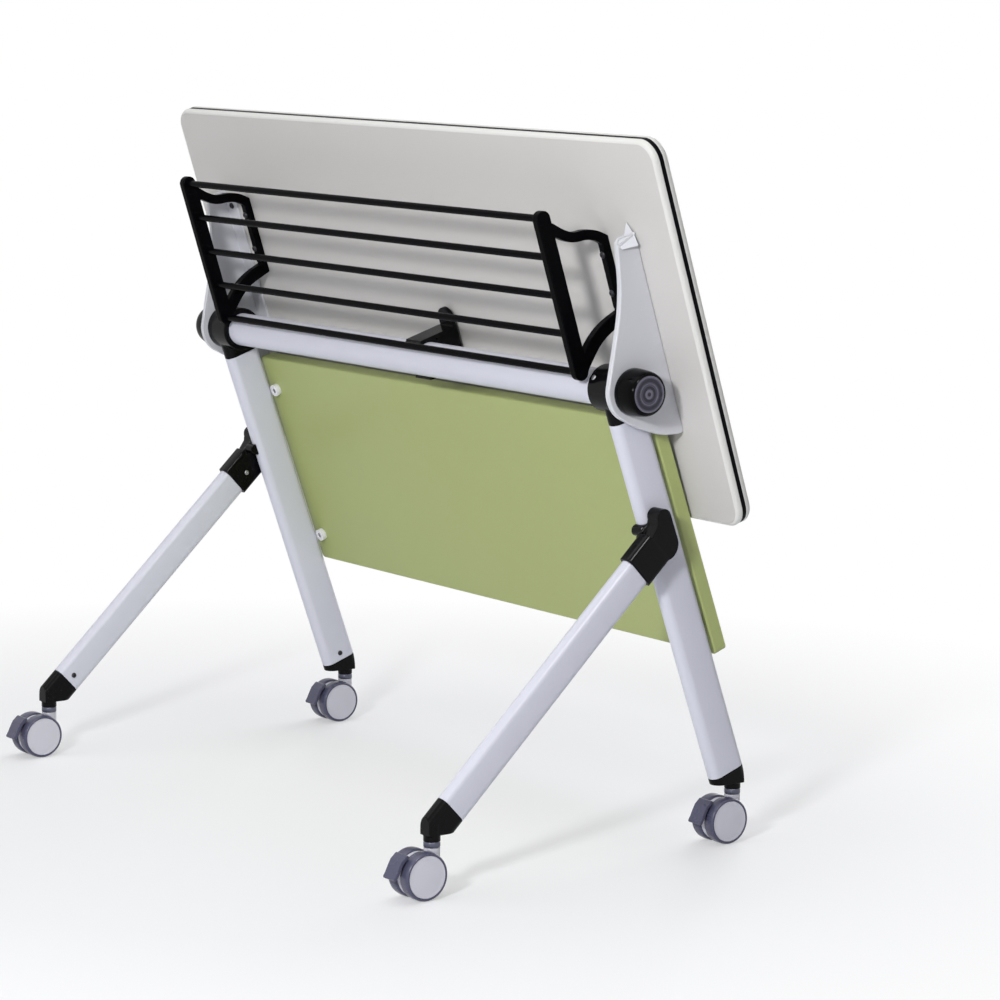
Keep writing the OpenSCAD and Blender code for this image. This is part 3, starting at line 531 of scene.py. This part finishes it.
# Finish: colour setting, relief, its scale, its depth in millimetres, roughness, specular, tone drift,
# handling and metallic
FINISHES = {
    "leg paint": ("paint", orange_peel, 420, 0.020, 0.36, 0.4, 0.05, 0.03, 0.0),
    "wing paint": ("wing", orange_peel, 420, 0.020, 0.36, 0.4, 0.05, 0.03, 0.0),
    "black moulding": ("moulding", mould_grain, 1500, 0.005, 0.17, 0.10, 0.25, 0.03, 0.0),
    "rack coating": ("rack", orange_peel, 650, 0.008, 0.22, 0.02, 0.20, 0.03, 0.0),
    "knob gloss": ("gloss", orange_peel, 300, 0.004, 0.10, 0.05, 0.15, 0.02, 0.0),
    "knob face": ("knob_face", mould_grain, 1800, 0.008, 0.36, 0.2, 0.10, 0.04, 0.0),
    "knob ring": ("knob_ring", mould_grain, 1800, 0.006, 0.30, 0.3, 0.10, 0.04, 0.0),
    "knob band": ("knob_band", mould_grain, 1800, 0.006, 0.30, 0.15, 0.10, 0.04, 0.0),
    "laminate": ("laminate", orange_peel, 900, 0.010, 0.42, 0.2, 0.03, 0.03, 0.0),
    "edge band": ("band", mould_grain, 1600, 0.010, 0.46, 0.4, 0.04, 0.03, 0.0),
    "edge stripe": ("stripe", mould_grain, 1600, 0.010, 0.40, 0.03, 0.15, 0.04, 0.0),
    "panel coat": ("panel", orange_peel, 450, 0.020, 0.42, 0.45, 0.06, 0.03, 0.0),
    "spacer plastic": ("spacer", mould_grain, 1500, 0.008, 0.38, 0.5, 0.04, 0.03, 0.0),
    "zinc plate": ("steel", brushing, 1, 0.006, 0.30, 0.5, 0.12, 0.06, 1.0),
    "dark plate": ("collar", brushing, 1, 0.006, 0.36, 0.5, 0.12, 0.06, 0.4),
    "dark screws": ("screw", brushing, 1, 0.006, 0.32, 0.3, 0.12, 0.06, 0.2),
    "wheel plastic": ("caster_dark", mould_grain, 1300, 0.010, 0.30, 0.30, 0.12, 0.05, 0.0),
    "cover plastic": ("caster_light", mould_grain, 1700, 0.008, 0.36, 0.45, 0.05, 0.04, 0.0),
}


def material(name):
    """Builds a finish once and gives it back."""
    if name in bpy.data.materials:
        return bpy.data.materials[name]
    setting, relief, scale, depth, rough, specular, drift, wear, metallic = FINISHES[name]
    base = (*getattr(bpy.context.scene.table_finishes, setting), 1.0)
    mat = bpy.data.materials.new(name)
    mat.use_nodes = True
    mat.diffuse_color = base
    tree = mat.node_tree
    shader = preset(tree.nodes["Principled BSDF"], Metallic=metallic, Specular_IOR_Level=specular)
    where = tree.nodes.new("ShaderNodeTexCoord").outputs["Object"]

    def placed_effect(group, **settings):
        node = tree.nodes.new("ShaderNodeGroup")
        node.node_tree = group
        tree.links.new(where, node.inputs["Vector"])
        return preset(node, **settings)

    tone = placed_effect(tone_drift(), Colour=base, Scale=7.0, Amount=drift)
    tree.links.new(tone.outputs["Colour"], shader.inputs["Base Color"])
    touch = placed_effect(handling(), Roughness=rough, Amount=wear)
    tree.links.new(touch.outputs["Roughness"], shader.inputs["Roughness"])
    skin = placed_effect(relief(), Scale=scale)
    bump = preset(tree.nodes.new("ShaderNodeBump"), Strength=0.6, Distance=depth * MM)
    tree.links.new(skin.outputs["Height"], bump.inputs["Height"])
    tree.links.new(bump.outputs["Normal"], shader.inputs["Normal"])
    return mat


# Places of the table
def leg_place(legs):
    return moved(legs.span, PIVOT.y, PIVOT.z) @ leaned(legs.lean)


def top_place(top):
    return moved(0, PIVOT.y, PIVOT.z) @ leaned(top.tilt)


def leg_lengths(legs):
    """Where the front leg lies, its length, and the main leg's length, from the caster stems."""
    front, rear = PLACES["swivel_fr"], PLACES["swivel_rr"]
    rear_seam = Vector((rear.y + REAR_SEAM[0], legs.foot_height + REAR_SEAM[1]))
    front_seam = Vector((front.y + FRONT_SEAM[0], legs.foot_height + FRONT_SEAM[1]))
    meet = Vector((PIVOT.y + legs.joint_drop * math.sin(legs.lean),
                   PIVOT.z - legs.joint_drop * math.cos(legs.lean)))
    run = meet - front_seam
    rise = math.atan2(run.y, run.x)
    place = moved(front.x, meet.x, meet.y) @ leaned(rise - math.pi / 2)
    return place, run.length, (PIVOT.z - rear_seam.y) / math.cos(legs.lean)


def tube(width, thickness, low, high, edge):
    """A flat-oval tube with a small chamfer at each end."""
    bm = bmesh.new()
    ends = ((edge, low), (0, low + edge), (0, high - edge), (edge, high))
    return bridge(bm, [oval_loop(bm, width - 2 * inset, thickness - 2 * inset, level)
                       for inset, level in ends])


def screw_head(diameter, height):
    """A domed screw head with a six-sided socket, on Z; sizes in millimetres."""
    r = diameter / 2
    bm = lathe([(0.46 * r, 0.98 * height), (0.7 * r, 0.9 * height), (0.9 * r, 0.62 * height),
                (0.985 * r, 0.3 * height), (r, 0.12 * height), (r, -0.2)], 24)
    rims = {v for e in bm.edges if e.is_boundary for v in e.verts}
    upper, lower = [v for v in rims if v.co.z > 0], [v for v in rims if v.co.z < 0]
    bmesh.ops.contextual_create(bm, geom=edges_of(lower))
    mouth, floor = (bmesh.ops.create_circle(bm, radius=0.4 * r * MM, segments=6,
                                            matrix=moved(0, 0, level * height * MM))["verts"]
                    for level in (0.96, 0.35))
    for one, two in ((upper, mouth), (mouth, floor)):
        bmesh.ops.bridge_loops(bm, edges=edges_of(one) + edges_of(two))
    bmesh.ops.contextual_create(bm, geom=edges_of(floor))
    return bm


class TABLE_OT_legs(bpy.types.Operator):
    """Make the four leg tubes"""
    bl_idname = "training_table.legs"
    bl_label = "Leg tubes"

    def execute(self, context):
        legs = context.scene.table_legs
        front_place, front_run, main_run = leg_lengths(legs)
        kinds = (("main", legs.main_width, legs.main_thickness, main_run, legs.sleeve_drop, leg_place(legs)),
                 ("front", legs.front_width, legs.front_thickness, front_run, legs.joint_seam, front_place))
        for word, side in SIDES:
            for kind, width, thickness, run, drop, place in kinds:
                made = placed(tube(width, thickness, -run, -drop, legs.seam_edge), place)
                piece("%s_tube_%s" % (kind, word), mirrored(made, side), "frame",
                      ["%s_leg_%s" % (kind, word)], "leg paint")
        return {"FINISHED"}


class TABLE_OT_mouldings(bpy.types.Operator):
    """Make the black mouldings of the frame: feet, leg joints and hubs"""
    bl_idname = "training_table.mouldings"
    bl_label = "Feet, joints and hubs"

    def execute(self, context):
        legs = context.scene.table_legs
        look = ("frame", "black_satin", "black moulding")
        for ends in ("front_feet", "rear_feet"):
            moulded_piece(ends + "_moulded", ends, "fine", *look)
        joint_place = leg_lengths(legs)[0]
        inner, edge = -legs.front_thickness / 2 / MM - JOINT_WALL, -legs.front_width / 2 / MM - JOINT_WALL
        high, low, deep = -12, -40, 4
        for word, side in SIDES:
            gusset = outline_plate([(edge, low, 1), (edge, high, 4), (edge + 12, high, 4),
                                    (edge + 36, low, 1)], inner, inner + deep)
            node = "leg_joint_" + word
            joint = joined([from_frame(node), mirrored(placed(gusset, joint_place), side)])
            moulded_piece(node + "_moulded", node, "coarse", *look, shape=joint)
            moulded_piece("hub_%s_moulded" % word, "hub_" + word, "coarse", *look)
        return {"FINISHED"}


class TABLE_OT_panel(bpy.types.Operator):
    """Make the folded modesty panel with its spacers and screws"""
    bl_idname = "training_table.modesty_panel"
    bl_label = "Modesty panel"

    def execute(self, context):
        legs, panel = context.scene.table_legs, context.scene.table_panel
        place = (moved(0, PIVOT.y, PIVOT.z), leaned(legs.lean),
                 moved(0, legs.main_width / 2 + panel.gap, -panel.drop - panel.height / 2), turned(-90, "X"))
        wide, high = 2 * (legs.span + panel.lap), panel.height
        bm = bmesh.new()

        def loop(inset, level):
            corner = max(panel.corner - inset, TIGHTEST)
            return round_loop(bm, wide - 2 * inset, high - 2 * inset, corner, level, 6)

        def fold(start, radius, turns):
            return [loop(start + radius * (1 - math.sin(a)), start + radius * (1 - math.cos(a)))
                    for a in turns]

        sheet, depth = panel.sheet, panel.depth
        outer = fold(0, panel.fold, quarter_turn(5))
        inner = fold(sheet, panel.fold - sheet, reversed(quarter_turn(4)))
        # The rim's two middle loops differ in level, because loops in one plane can be bridged crosswise
        rim = [loop(0, depth - LIP), loop(LIP, depth - RIM_FALL), loop(sheet - LIP, depth),
               loop(sheet, depth - LIP)]
        bridge(bm, outer + rim + inner)
        piece("panel_sheet", placed(bm, *place), "frame", ["modesty_panel"], "panel coat",
              even=True)
        moulded_piece("panel_spacers_moulded", "panel_spacers", "finest", "frame", "spacer_white",
                      "spacer plastic")
        dressed("panel_screws", "zinc plate")
        return {"FINISHED"}


class TABLE_OT_top(bpy.types.Operator):
    """Make the board with its soft band and dark stripe"""
    bl_idname = "training_table.top"
    bl_label = "Table top"

    def execute(self, context):
        top = context.scene.table_top
        centre = top.short_side * (top.ahead - 0.5)
        place = (top_place(top), moved(0, top.stand_off + top.thickness / 2, centre), turned(90, "X"))
        half, seam, band = top.thickness / 2, top.seam, top.band

        def sweep(profile, closed):
            bm = bmesh.new()
            loops = [round_loop(bm, top.long_side - 2 * inset, top.short_side - 2 * inset,
                                top.corner - inset, level, 12) for inset, level in profile]
            return placed(bridge(bm, loops, closed=closed), *place)

        board = sweep([(band + seam, -half), (band, -half + seam), (band, half - seam),
                       (band + seam, half)], False)
        piece("board", board, "top", ["top_board"], "laminate", even=True)
        lower = [(band - (band - seam) * math.sin(a), -half + band - band * math.cos(a))
                 for a in quarter_turn(6)]
        lower[-1] = (0, -half + band)
        stripe, groove = top.stripe / 2, top.stripe_depth
        mouth = [(0, -stripe - LIP), (LIP, -stripe), (groove, -stripe)]
        rising = [(band, -half + seam)] + [(max(i, 0), z) for i, z in lower] + mouth
        profile = rising + [(inset, -level) for inset, level in reversed(rising)]
        piece("band", sweep(profile, True), "top", ["edge_band"], "edge band")
        sink, shoulder = top.stripe_sink, 0.0004
        profile = [(groove, -stripe), (sink + LIP, -stripe), (sink, -stripe + shoulder),
                   (sink, stripe - shoulder), (sink + LIP, stripe), (groove, stripe)]
        piece("stripe", sweep(profile, True), "top", ["edge_stripe"], "edge stripe")
        return {"FINISHED"}


class TABLE_OT_brackets(bpy.types.Operator):
    """Make the wing brackets and the pivot knobs on them"""
    bl_idname = "training_table.brackets"
    bl_label = "Brackets and knobs"

    def hollow_tip(self, plate, wing, inner_back, outer_front):
        """Slopes the outer face away at the wing's upper end and sinks a hollow into the slope."""
        inner_front = Vector((inner_back.x + wing.tip_wall, outer_front.y, inner_back.z))
        outer_back = Vector((outer_front.x, inner_back.y, inner_back.z - 0.15 * wing.tip_drop))
        cut = (outer_front - Vector((0, 0, wing.tip_drop)) - inner_front).cross(outer_back - inner_front)
        if cut.z < 0:
            cut = -cut
        everything = [*plate.verts, *plate.edges, *plate.faces]
        made = bmesh.ops.bisect_plane(plate, geom=everything, dist=1e-7, plane_co=inner_front, plane_no=cut,
                                      clear_outer=True)["geom_cut"]
        rim = [g for g in made if isinstance(g, bmesh.types.BMEdge)]
        slope = bmesh.ops.contextual_create(plate, geom=rim)["faces"]
        bmesh.ops.recalc_face_normals(plate, faces=plate.faces)
        for inset, sink in ((wing.tip_wall, 0), (SMALL_EASING, wing.tip_wall)):
            bmesh.ops.inset_region(plate, faces=slope, thickness=inset, depth=-sink, use_even_offset=True)

    def knob_parts(self, wing):
        """The knob, its face and the face's rings: name, node, slot, finish, crease and turned profiles."""
        sizes = (wing.knob / 2, wing.face / 2, wing.knob_length, wing.knob_taper)
        r, face, run, taper = (size / MM for size in sizes)
        body = [(0, 0), (r - 2, 0), (r - 0.9, 0.35), (r - 0.5, 1.2), (r - 0.6, 0.25 * run),
                (r - 0.45 * taper - 0.5, 0.5 * run), (r - 0.8 * taper - 0.5, 0.72 * run),
                (r - taper - 0.9, run - 6.4), (r - taper - 1.5, run - 4.2), (r - taper - 2.5, run - 2.2),
                (r - taper - 3.8, run - 0.8), (r - taper - 5, run - 0.15), (face + 1, run),
                (face + 0.6, run - 0.3), (face + 0.4, run - 1), (face + 0.4, run - 2.4), (0, run - 2.4)]
        disc = [(0, run - 2), (face - 0.1, run - 2), (face, run - 0.8), (face - 0.5, run - 0.5),
                (0.62 * face, run - 0.7), (0.6 * face, run - 1), (0.3 * face, run - 1), (0, run - 1)]
        seat, round_off = run - 1.4, 0.15

        def ring(low, high, fall):
            a, b, level = low * face, high * face - 0.1, run - fall
            outer = [(a, seat), (b, seat), (b, level - round_off), (b - round_off, level)]
            if low == 0:
                return outer + [(0, level)]
            return outer + [(a + round_off, level), (a, level - round_off), (a, seat)]

        light = [ring(0.9, 1, 0.3), ring(0.56, 0.6, 0.6), ring(0.12, 0.26, 0.5)]
        dark = [ring(0.66, 0.84, 0.5), ring(0.3, 0.44, 0.8), ring(0, 0.1, 0.3)]
        on_face = ("knob_faces", "knob_face_grey")
        return (("pivot_knobs", "knobs", "knob_black", "knob gloss", 38, [body]),
                ("knob_ringed_faces", *on_face, "knob face", 50, [disc]),
                ("knob_light_rings", *on_face, "knob ring", 50, light),
                ("knob_dark_bands", *on_face, "knob band", 50, dark))

    def execute(self, context):
        legs, top, wing = context.scene.table_legs, context.scene.table_top, context.scene.table_bracket
        inner, outer = WING_GAP, WING_GAP + wing.plate / MM
        nose, high, low = wing.nose / MM, wing.reach / MM, -wing.skirt / MM
        back = top.stand_off / MM
        # The wing's corners: along the top, over the narrow upper end, down to the nose and the lower end
        corners = [(back, low, 3), (back, high, 2.5), (back - WING_FOOT, high, 9), (17.6, 122.4, 34),
                   (-1.233 * nose, -0.203 * nose, 0.749 * nose), (-4.9, low + 32, 14), (30.8, low + 8.4, 10),
                   (57.5, low, 5)]
        flange_wide, flange_thick, flange_short = 28, 4, 15
        for word, side in SIDES:
            plate = outline_plate(corners, inner, outer)
            for face, easing, steps in ((outer, wing.edge, 4), (inner, SMALL_EASING, 2)):
                rim = [e for e in plate.edges if all(abs(v.co.x - face * MM) < 1e-6 for v in e.verts)]
                ease(plate, rim, easing, steps)
            self.hollow_tip(plate, wing, Vector((inner, back, high)) * MM,
                            Vector((outer, back - WING_FOOT, high)) * MM)
            flange = block((inner - flange_wide, back - flange_thick, low + flange_short),
                           (inner + 5, back, high - flange_short), 1.2)
            pair = placed(joined([plate, flange]), moved(legs.span, 0, 0))
            piece("wing_" + word, mirrored(placed(pair, top_place(top)), side), "top",
                  ["bracket_" + word], "wing paint", even=True)
        place = (top_place(top), moved(legs.span + outer * MM, 0, 0), turned(90, "Y"))
        for name, node, slot, finish, crease, profiles in self.knob_parts(wing):
            shapes = [mirrored(placed(lathe(profile, 96), *place), side) for _, side in SIDES
                      for profile in profiles]
            piece(name, joined(shapes), "top", [node], finish, crease=crease)
        for node in ("pivot_shafts", "latch_pin_left", "latch_pin_right"):
            dressed(node, "zinc plate")
        return {"FINISHED"}


class TABLE_OT_rack(bpy.types.Operator):
    """Make the book rack: two bent sides and the rods between them"""
    bl_idname = "training_table.rack"
    bl_label = "Book rack"

    def execute(self, context):
        top, rack = context.scene.table_top, context.scene.table_rack
        for word, _ in SIDES:
            node = "rack_side_" + word
            moulded_piece(node + "_moulded", node, "coarse", "top", "rack_black", "rack coating")
        r, half = rack.rod / 2 / MM, rack.half / MM
        rods = []
        for k in range(rack.rods):
            level = rack.first + (rack.last - rack.first) * k / (rack.rods - 1)
            rod = lathe([(0, -half), (r - 0.5, -half), (r, 0.5 - half), (r, half - 0.5), (r - 0.5, half),
                         (0, half)], 32)
            rods.append(placed(rod, top_place(top), moved(0, -rack.stand, level), turned(90, "Y")))
        piece("rods", joined(rods), "top", ["rack_rods"], "rack coating")
        return {"FINISHED"}


class TABLE_OT_release(bpy.types.Operator):
    """Make the cross beam and the release handle on it"""
    bl_idname = "training_table.release"
    bl_label = "Beam and handle"

    def execute(self, context):
        rack = context.scene.table_rack
        r, half = rack.beam / 2 / MM, rack.beam_half / MM
        wall, edge, sunk = 2, 0.6, 3
        beam = lathe([(0, sunk - half), (r - wall, sunk - half), (r - wall, -half), (r - edge, -half),
                      (r, edge - half), (r, half - edge), (r - edge, half), (r - wall, half),
                      (r - wall, half - sunk), (0, half - sunk)], 96)
        piece("beam", placed(beam, moved(0, PIVOT.y, PIVOT.z), turned(90, "Y")), "release",
              ["cross_beam"], "leg paint")
        moulded_piece("handle", "flip_handle", "fine", "release", "black_satin", "black moulding")
        dressed("beam_plugs", "black moulding")
        return {"FINISHED"}


class TABLE_OT_casters(bpy.types.Operator):
    """Make the four casters: collar, hood, brake pedal, wheels and cover discs"""
    bl_idname = "training_table.casters"
    bl_label = "Casters"

    def execute(self, context):
        caster = context.scene.table_caster
        stems = []
        c, collar_high = caster.collar / 2 / MM, caster.collar_height / MM
        r, wide, disc = caster.wheel / 2 / MM, caster.width / MM, caster.disc / 2 / MM
        for name in CASTERS:
            stem = PLACES["swivel_" + name]
            collar = lathe([(0, 0), (c - 1.4, 0), (c - 0.3, 0.6), (c, 1.5), (c, collar_high - 1.5),
                            (c - 0.3, collar_high - 0.6), (c - 1, collar_high - 0.05),
                            (0, collar_high - 0.05)], 48)
            stems.append(placed(collar, Matrix.Translation(stem)))
            moulded_piece("hood_" + name, "housing_" + name, "finest", "caster_" + name, "housing_light",
                          "cover plastic")
            moulded_piece("pedal_" + name, "brake_" + name, "finest", "brake_" + name, "brake_grey",
                          "wheel plastic")
            dressed("axle_" + name, "zinc plate")
            for place in ("in", "out"):
                node = "wheel_%s_%s" % (name, place)
                axle = PLACES[node + "_spin"]
                side = 1 if axle.x > stem.x else -1
                spot = (moved(stem.x, axle.y, axle.z), turned(90 * side, "Y"), moved(0, 0, caster.gap / 2))
                bore, seat = 3.6, wide - 2.4
                tyre = lathe([(bore, 0), (r - 3.2, 0), (r - 1.5, 0.5), (r - 0.45, 1.6), (r, 3.4),
                              (r, wide - 5), (r - 0.25, wide - 2.6), (r - 0.9, wide - 1.2),
                              (r - 1.8, wide - 0.4), (r - 2.7, wide), (disc + 0.9, wide),
                              (disc + 0.35, wide - 0.3), (disc + 0.15, wide - 0.9), (disc + 0.15, seat),
                              (bore, seat), (bore, 0)], 72)
                piece("tyre_%s_%s" % (name, place), placed(tyre, *spot), node, [node],
                      "wheel plastic")
                cover = lathe([(0, seat), (disc, seat), (disc, wide - 1.1), (disc - 0.4, wide - 0.65),
                               (disc - 1.3, wide - 0.5), (disc - 2.6, wide - 0.75),
                               (disc - 3.6, wide - 0.8), (disc - 8, wide - 0.45), (disc - 15, wide - 0.15),
                               (0, wide)], 72)
                piece("cover_%s_%s" % (name, place), placed(cover, *spot), node,
                      [node.replace("wheel", "disc")], "cover plastic")
        piece("collars", joined(stems), "frame", ["caster_stems"], "dark plate")
        return {"FINISHED"}


class TABLE_OT_screws(bpy.types.Operator):
    """Make the domed socket screws of the legs and the top"""
    bl_idname = "training_table.screws"
    bl_label = "Screws"

    def execute(self, context):
        legs, top = context.scene.table_legs, context.scene.table_top
        front_place, front_run, main_run = leg_lengths(legs)
        inward = turned(-90, "Y")
        half_main, half_front = legs.main_thickness / 2, legs.front_thickness / 2
        above_seam, joint_spot = 0.012, (0.004, -0.055)
        foot_spots = [(leg_place(legs), moved(-half_main, 0, above_seam - main_run), inward),
                      (front_place, moved(-half_front, 0, above_seam - front_run), inward)]
        other_spots = [(front_place, moved(-half_front - JOINT_WALL * MM, *joint_spot), inward),
                       (moved(legs.span - 0.019, PIVOT.y, PIVOT.z), turned(60, "X"), moved(0, 0, 0.032))]
        wing_row = [(legs.span + 0.0093, level, 0.004) for level in (0.180, 0.070, -0.044)]
        rack_row = [(legs.span - 0.038, level, 0.012) for level in (0.170, 0.115)]
        top_spots = [(top_place(top), moved(x, top.stand_off - plate, level), turned(90, "X"))
                     for x, level, plate in wing_row + rack_row]
        small, large = (8, 2), (10, 3)
        # The one kind of leg screw gets two finishes here: the darker one at the feet, zinc at the joints
        # and hubs
        for name, spots, size, body, slot, node, finish in (
                ("foot", foot_spots, small, "frame", "screw_steel", "leg_screws", "dark screws"),
                ("joint_and_hub", other_spots, small, "frame", "screw_steel", "leg_screws", "zinc plate"),
                ("top", top_spots, large, "top", "stem_steel", "top_screws", "dark screws")):
            heads = [mirrored(placed(screw_head(*size), *spot), side) for _, side in SIDES for spot in spots]
            piece(name + "_screw_heads", joined(heads), body, [node], finish, crease=50)
        return {"FINISHED"}


class TABLE_OT_stage(bpy.types.Operator):
    """Make the floor, the soft studio light and the camera"""
    bl_idname = "training_table.stage"
    bl_label = "Stage"

    def execute(self, context):
        scene = context.scene
        bm = bmesh.new()
        bmesh.ops.create_grid(bm, x_segments=1, y_segments=1, size=30)
        floor = plain_object("studio_floor", bm)
        floor.data.materials.append(self.floor_material(scene))
        self.world(scene)
        for name, spot, aim, size, power in LAMPS:
            data = bpy.data.lights.new(name, "AREA")
            data.shape, data.size, data.energy = "SQUARE", size, power
            lamp = bpy.data.objects.new(name, data)
            lamp.visible_diffuse = name != "gloss_strip"
            facing = (Vector(aim) - Vector(spot)).to_track_quat("-Z", "Y")
            lamp.matrix_world = moved(*spot) @ facing.to_matrix().to_4x4()
            scene.collection.objects.link(lamp)
        self.camera(scene)
        scene.view_settings.view_transform = "Standard"
        return {"FINISHED"}

    def floor_material(self, scene):
        """Pale floor that keeps the shadow near the table and turns to plain white further out."""
        mat = bpy.data.materials.new("studio floor")
        mat.use_nodes = True
        tree = mat.node_tree
        shader = preset(tree.nodes["Principled BSDF"], Base_Color=(*scene.table_finishes.floor, 1),
                        Roughness=0.55, Specular_IOR_Level=0.25)
        white = preset(tree.nodes.new("ShaderNodeEmission"), Color=(1, 1, 1, 1))
        where = tree.nodes.new("ShaderNodeTexCoord").outputs["Object"]
        centre = tree.nodes.new("ShaderNodeVectorMath")
        centre.operation = "DISTANCE"
        centre.inputs[1].default_value = (0.0, -0.05, 0.0)
        tree.links.new(where, centre.inputs[0])
        near, beyond, least_white = 0.75, 1.75, 0.38
        far = between(tree, centre.outputs["Value"], near, beyond, least_white, 1.0)
        mix_shaders(tree, maths(tree, "MULTIPLY", far, seen(tree)), shader, white, "Material Output")
        return mat

    def world(self, scene):
        world = bpy.data.worlds.new("soft studio")
        world.use_nodes = True
        tree = world.node_tree
        soft = preset(tree.nodes["Background"], Color=(1, 1, 1, 1), Strength=0.18)
        white = preset(tree.nodes.new("ShaderNodeBackground"), Color=(1, 1, 1, 1))
        mix_shaders(tree, seen(tree), soft, white, "World Output")
        scene.world = world

    def camera(self, scene):
        yaw, pitch, roll = CAMERA_TURNS
        ahead = Vector((math.sin(yaw) * math.cos(pitch), math.cos(yaw) * math.cos(pitch), math.sin(pitch)))
        level = ahead.cross(Vector((0, 0, 1))).normalized()
        upright = level.cross(ahead)
        across = math.cos(roll) * level + math.sin(roll) * upright
        up = math.cos(roll) * upright - math.sin(roll) * level
        data = bpy.data.cameras.new("view")
        data.sensor_width, data.lens, data.clip_end = 36, CAMERA_LENS, 60
        camera = bpy.data.objects.new("view", data)
        place = Matrix((across, up, -ahead)).transposed().to_4x4()
        place.translation = PIVOT + Vector(CAMERA_FROM_PIVOT)
        camera.matrix_world = place
        scene.collection.objects.link(camera)
        scene.camera = camera


OPERATORS = (TABLE_OT_legs, TABLE_OT_mouldings, TABLE_OT_panel, TABLE_OT_top, TABLE_OT_brackets,
             TABLE_OT_rack, TABLE_OT_release, TABLE_OT_casters, TABLE_OT_screws, TABLE_OT_stage)
SETTINGS = (("table_legs", LegSettings), ("table_casts", CastSettings), ("table_panel", PanelSettings),
            ("table_top", TopSettings), ("table_bracket", BracketSettings), ("table_rack", RackSettings),
            ("table_caster", CasterSettings), ("table_finishes", FinishSettings))


class TABLE_PT_sidebar(bpy.types.Panel):
    """Lists the table's pieces and their settings"""
    bl_label = "Training Table"
    bl_idname = "TABLE_PT_sidebar"
    bl_space_type = "VIEW_3D"
    bl_region_type = "UI"
    bl_category = "Training Table"

    def draw(self, context):
        for operator in OPERATORS:
            self.layout.operator(operator.bl_idname)
        for name, group in SETTINGS:
            box = self.layout.box()
            for setting in group.__annotations__:
                box.prop(getattr(context.scene, name), setting)


def register():
    for name, group in SETTINGS:
        bpy.utils.register_class(group)
        setattr(bpy.types.Scene, name, PointerProperty(type=group))
    for cls in (*OPERATORS, TABLE_PT_sidebar):
        bpy.utils.register_class(cls)


def unregister():
    for cls in (TABLE_PT_sidebar, *reversed(OPERATORS)):
        bpy.utils.unregister_class(cls)
    for name, group in reversed(SETTINGS):
        delattr(bpy.types.Scene, name)
        bpy.utils.unregister_class(group)


def main():
    register()
    steps = bpy.ops.training_table
    steps.legs()
    steps.mouldings()
    steps.modesty_panel()
    steps.top()
    steps.brackets()
    steps.rack()
    steps.release()
    steps.casters()
    steps.screws()
    steps.stage()


if __name__ == "__main__":
    main()
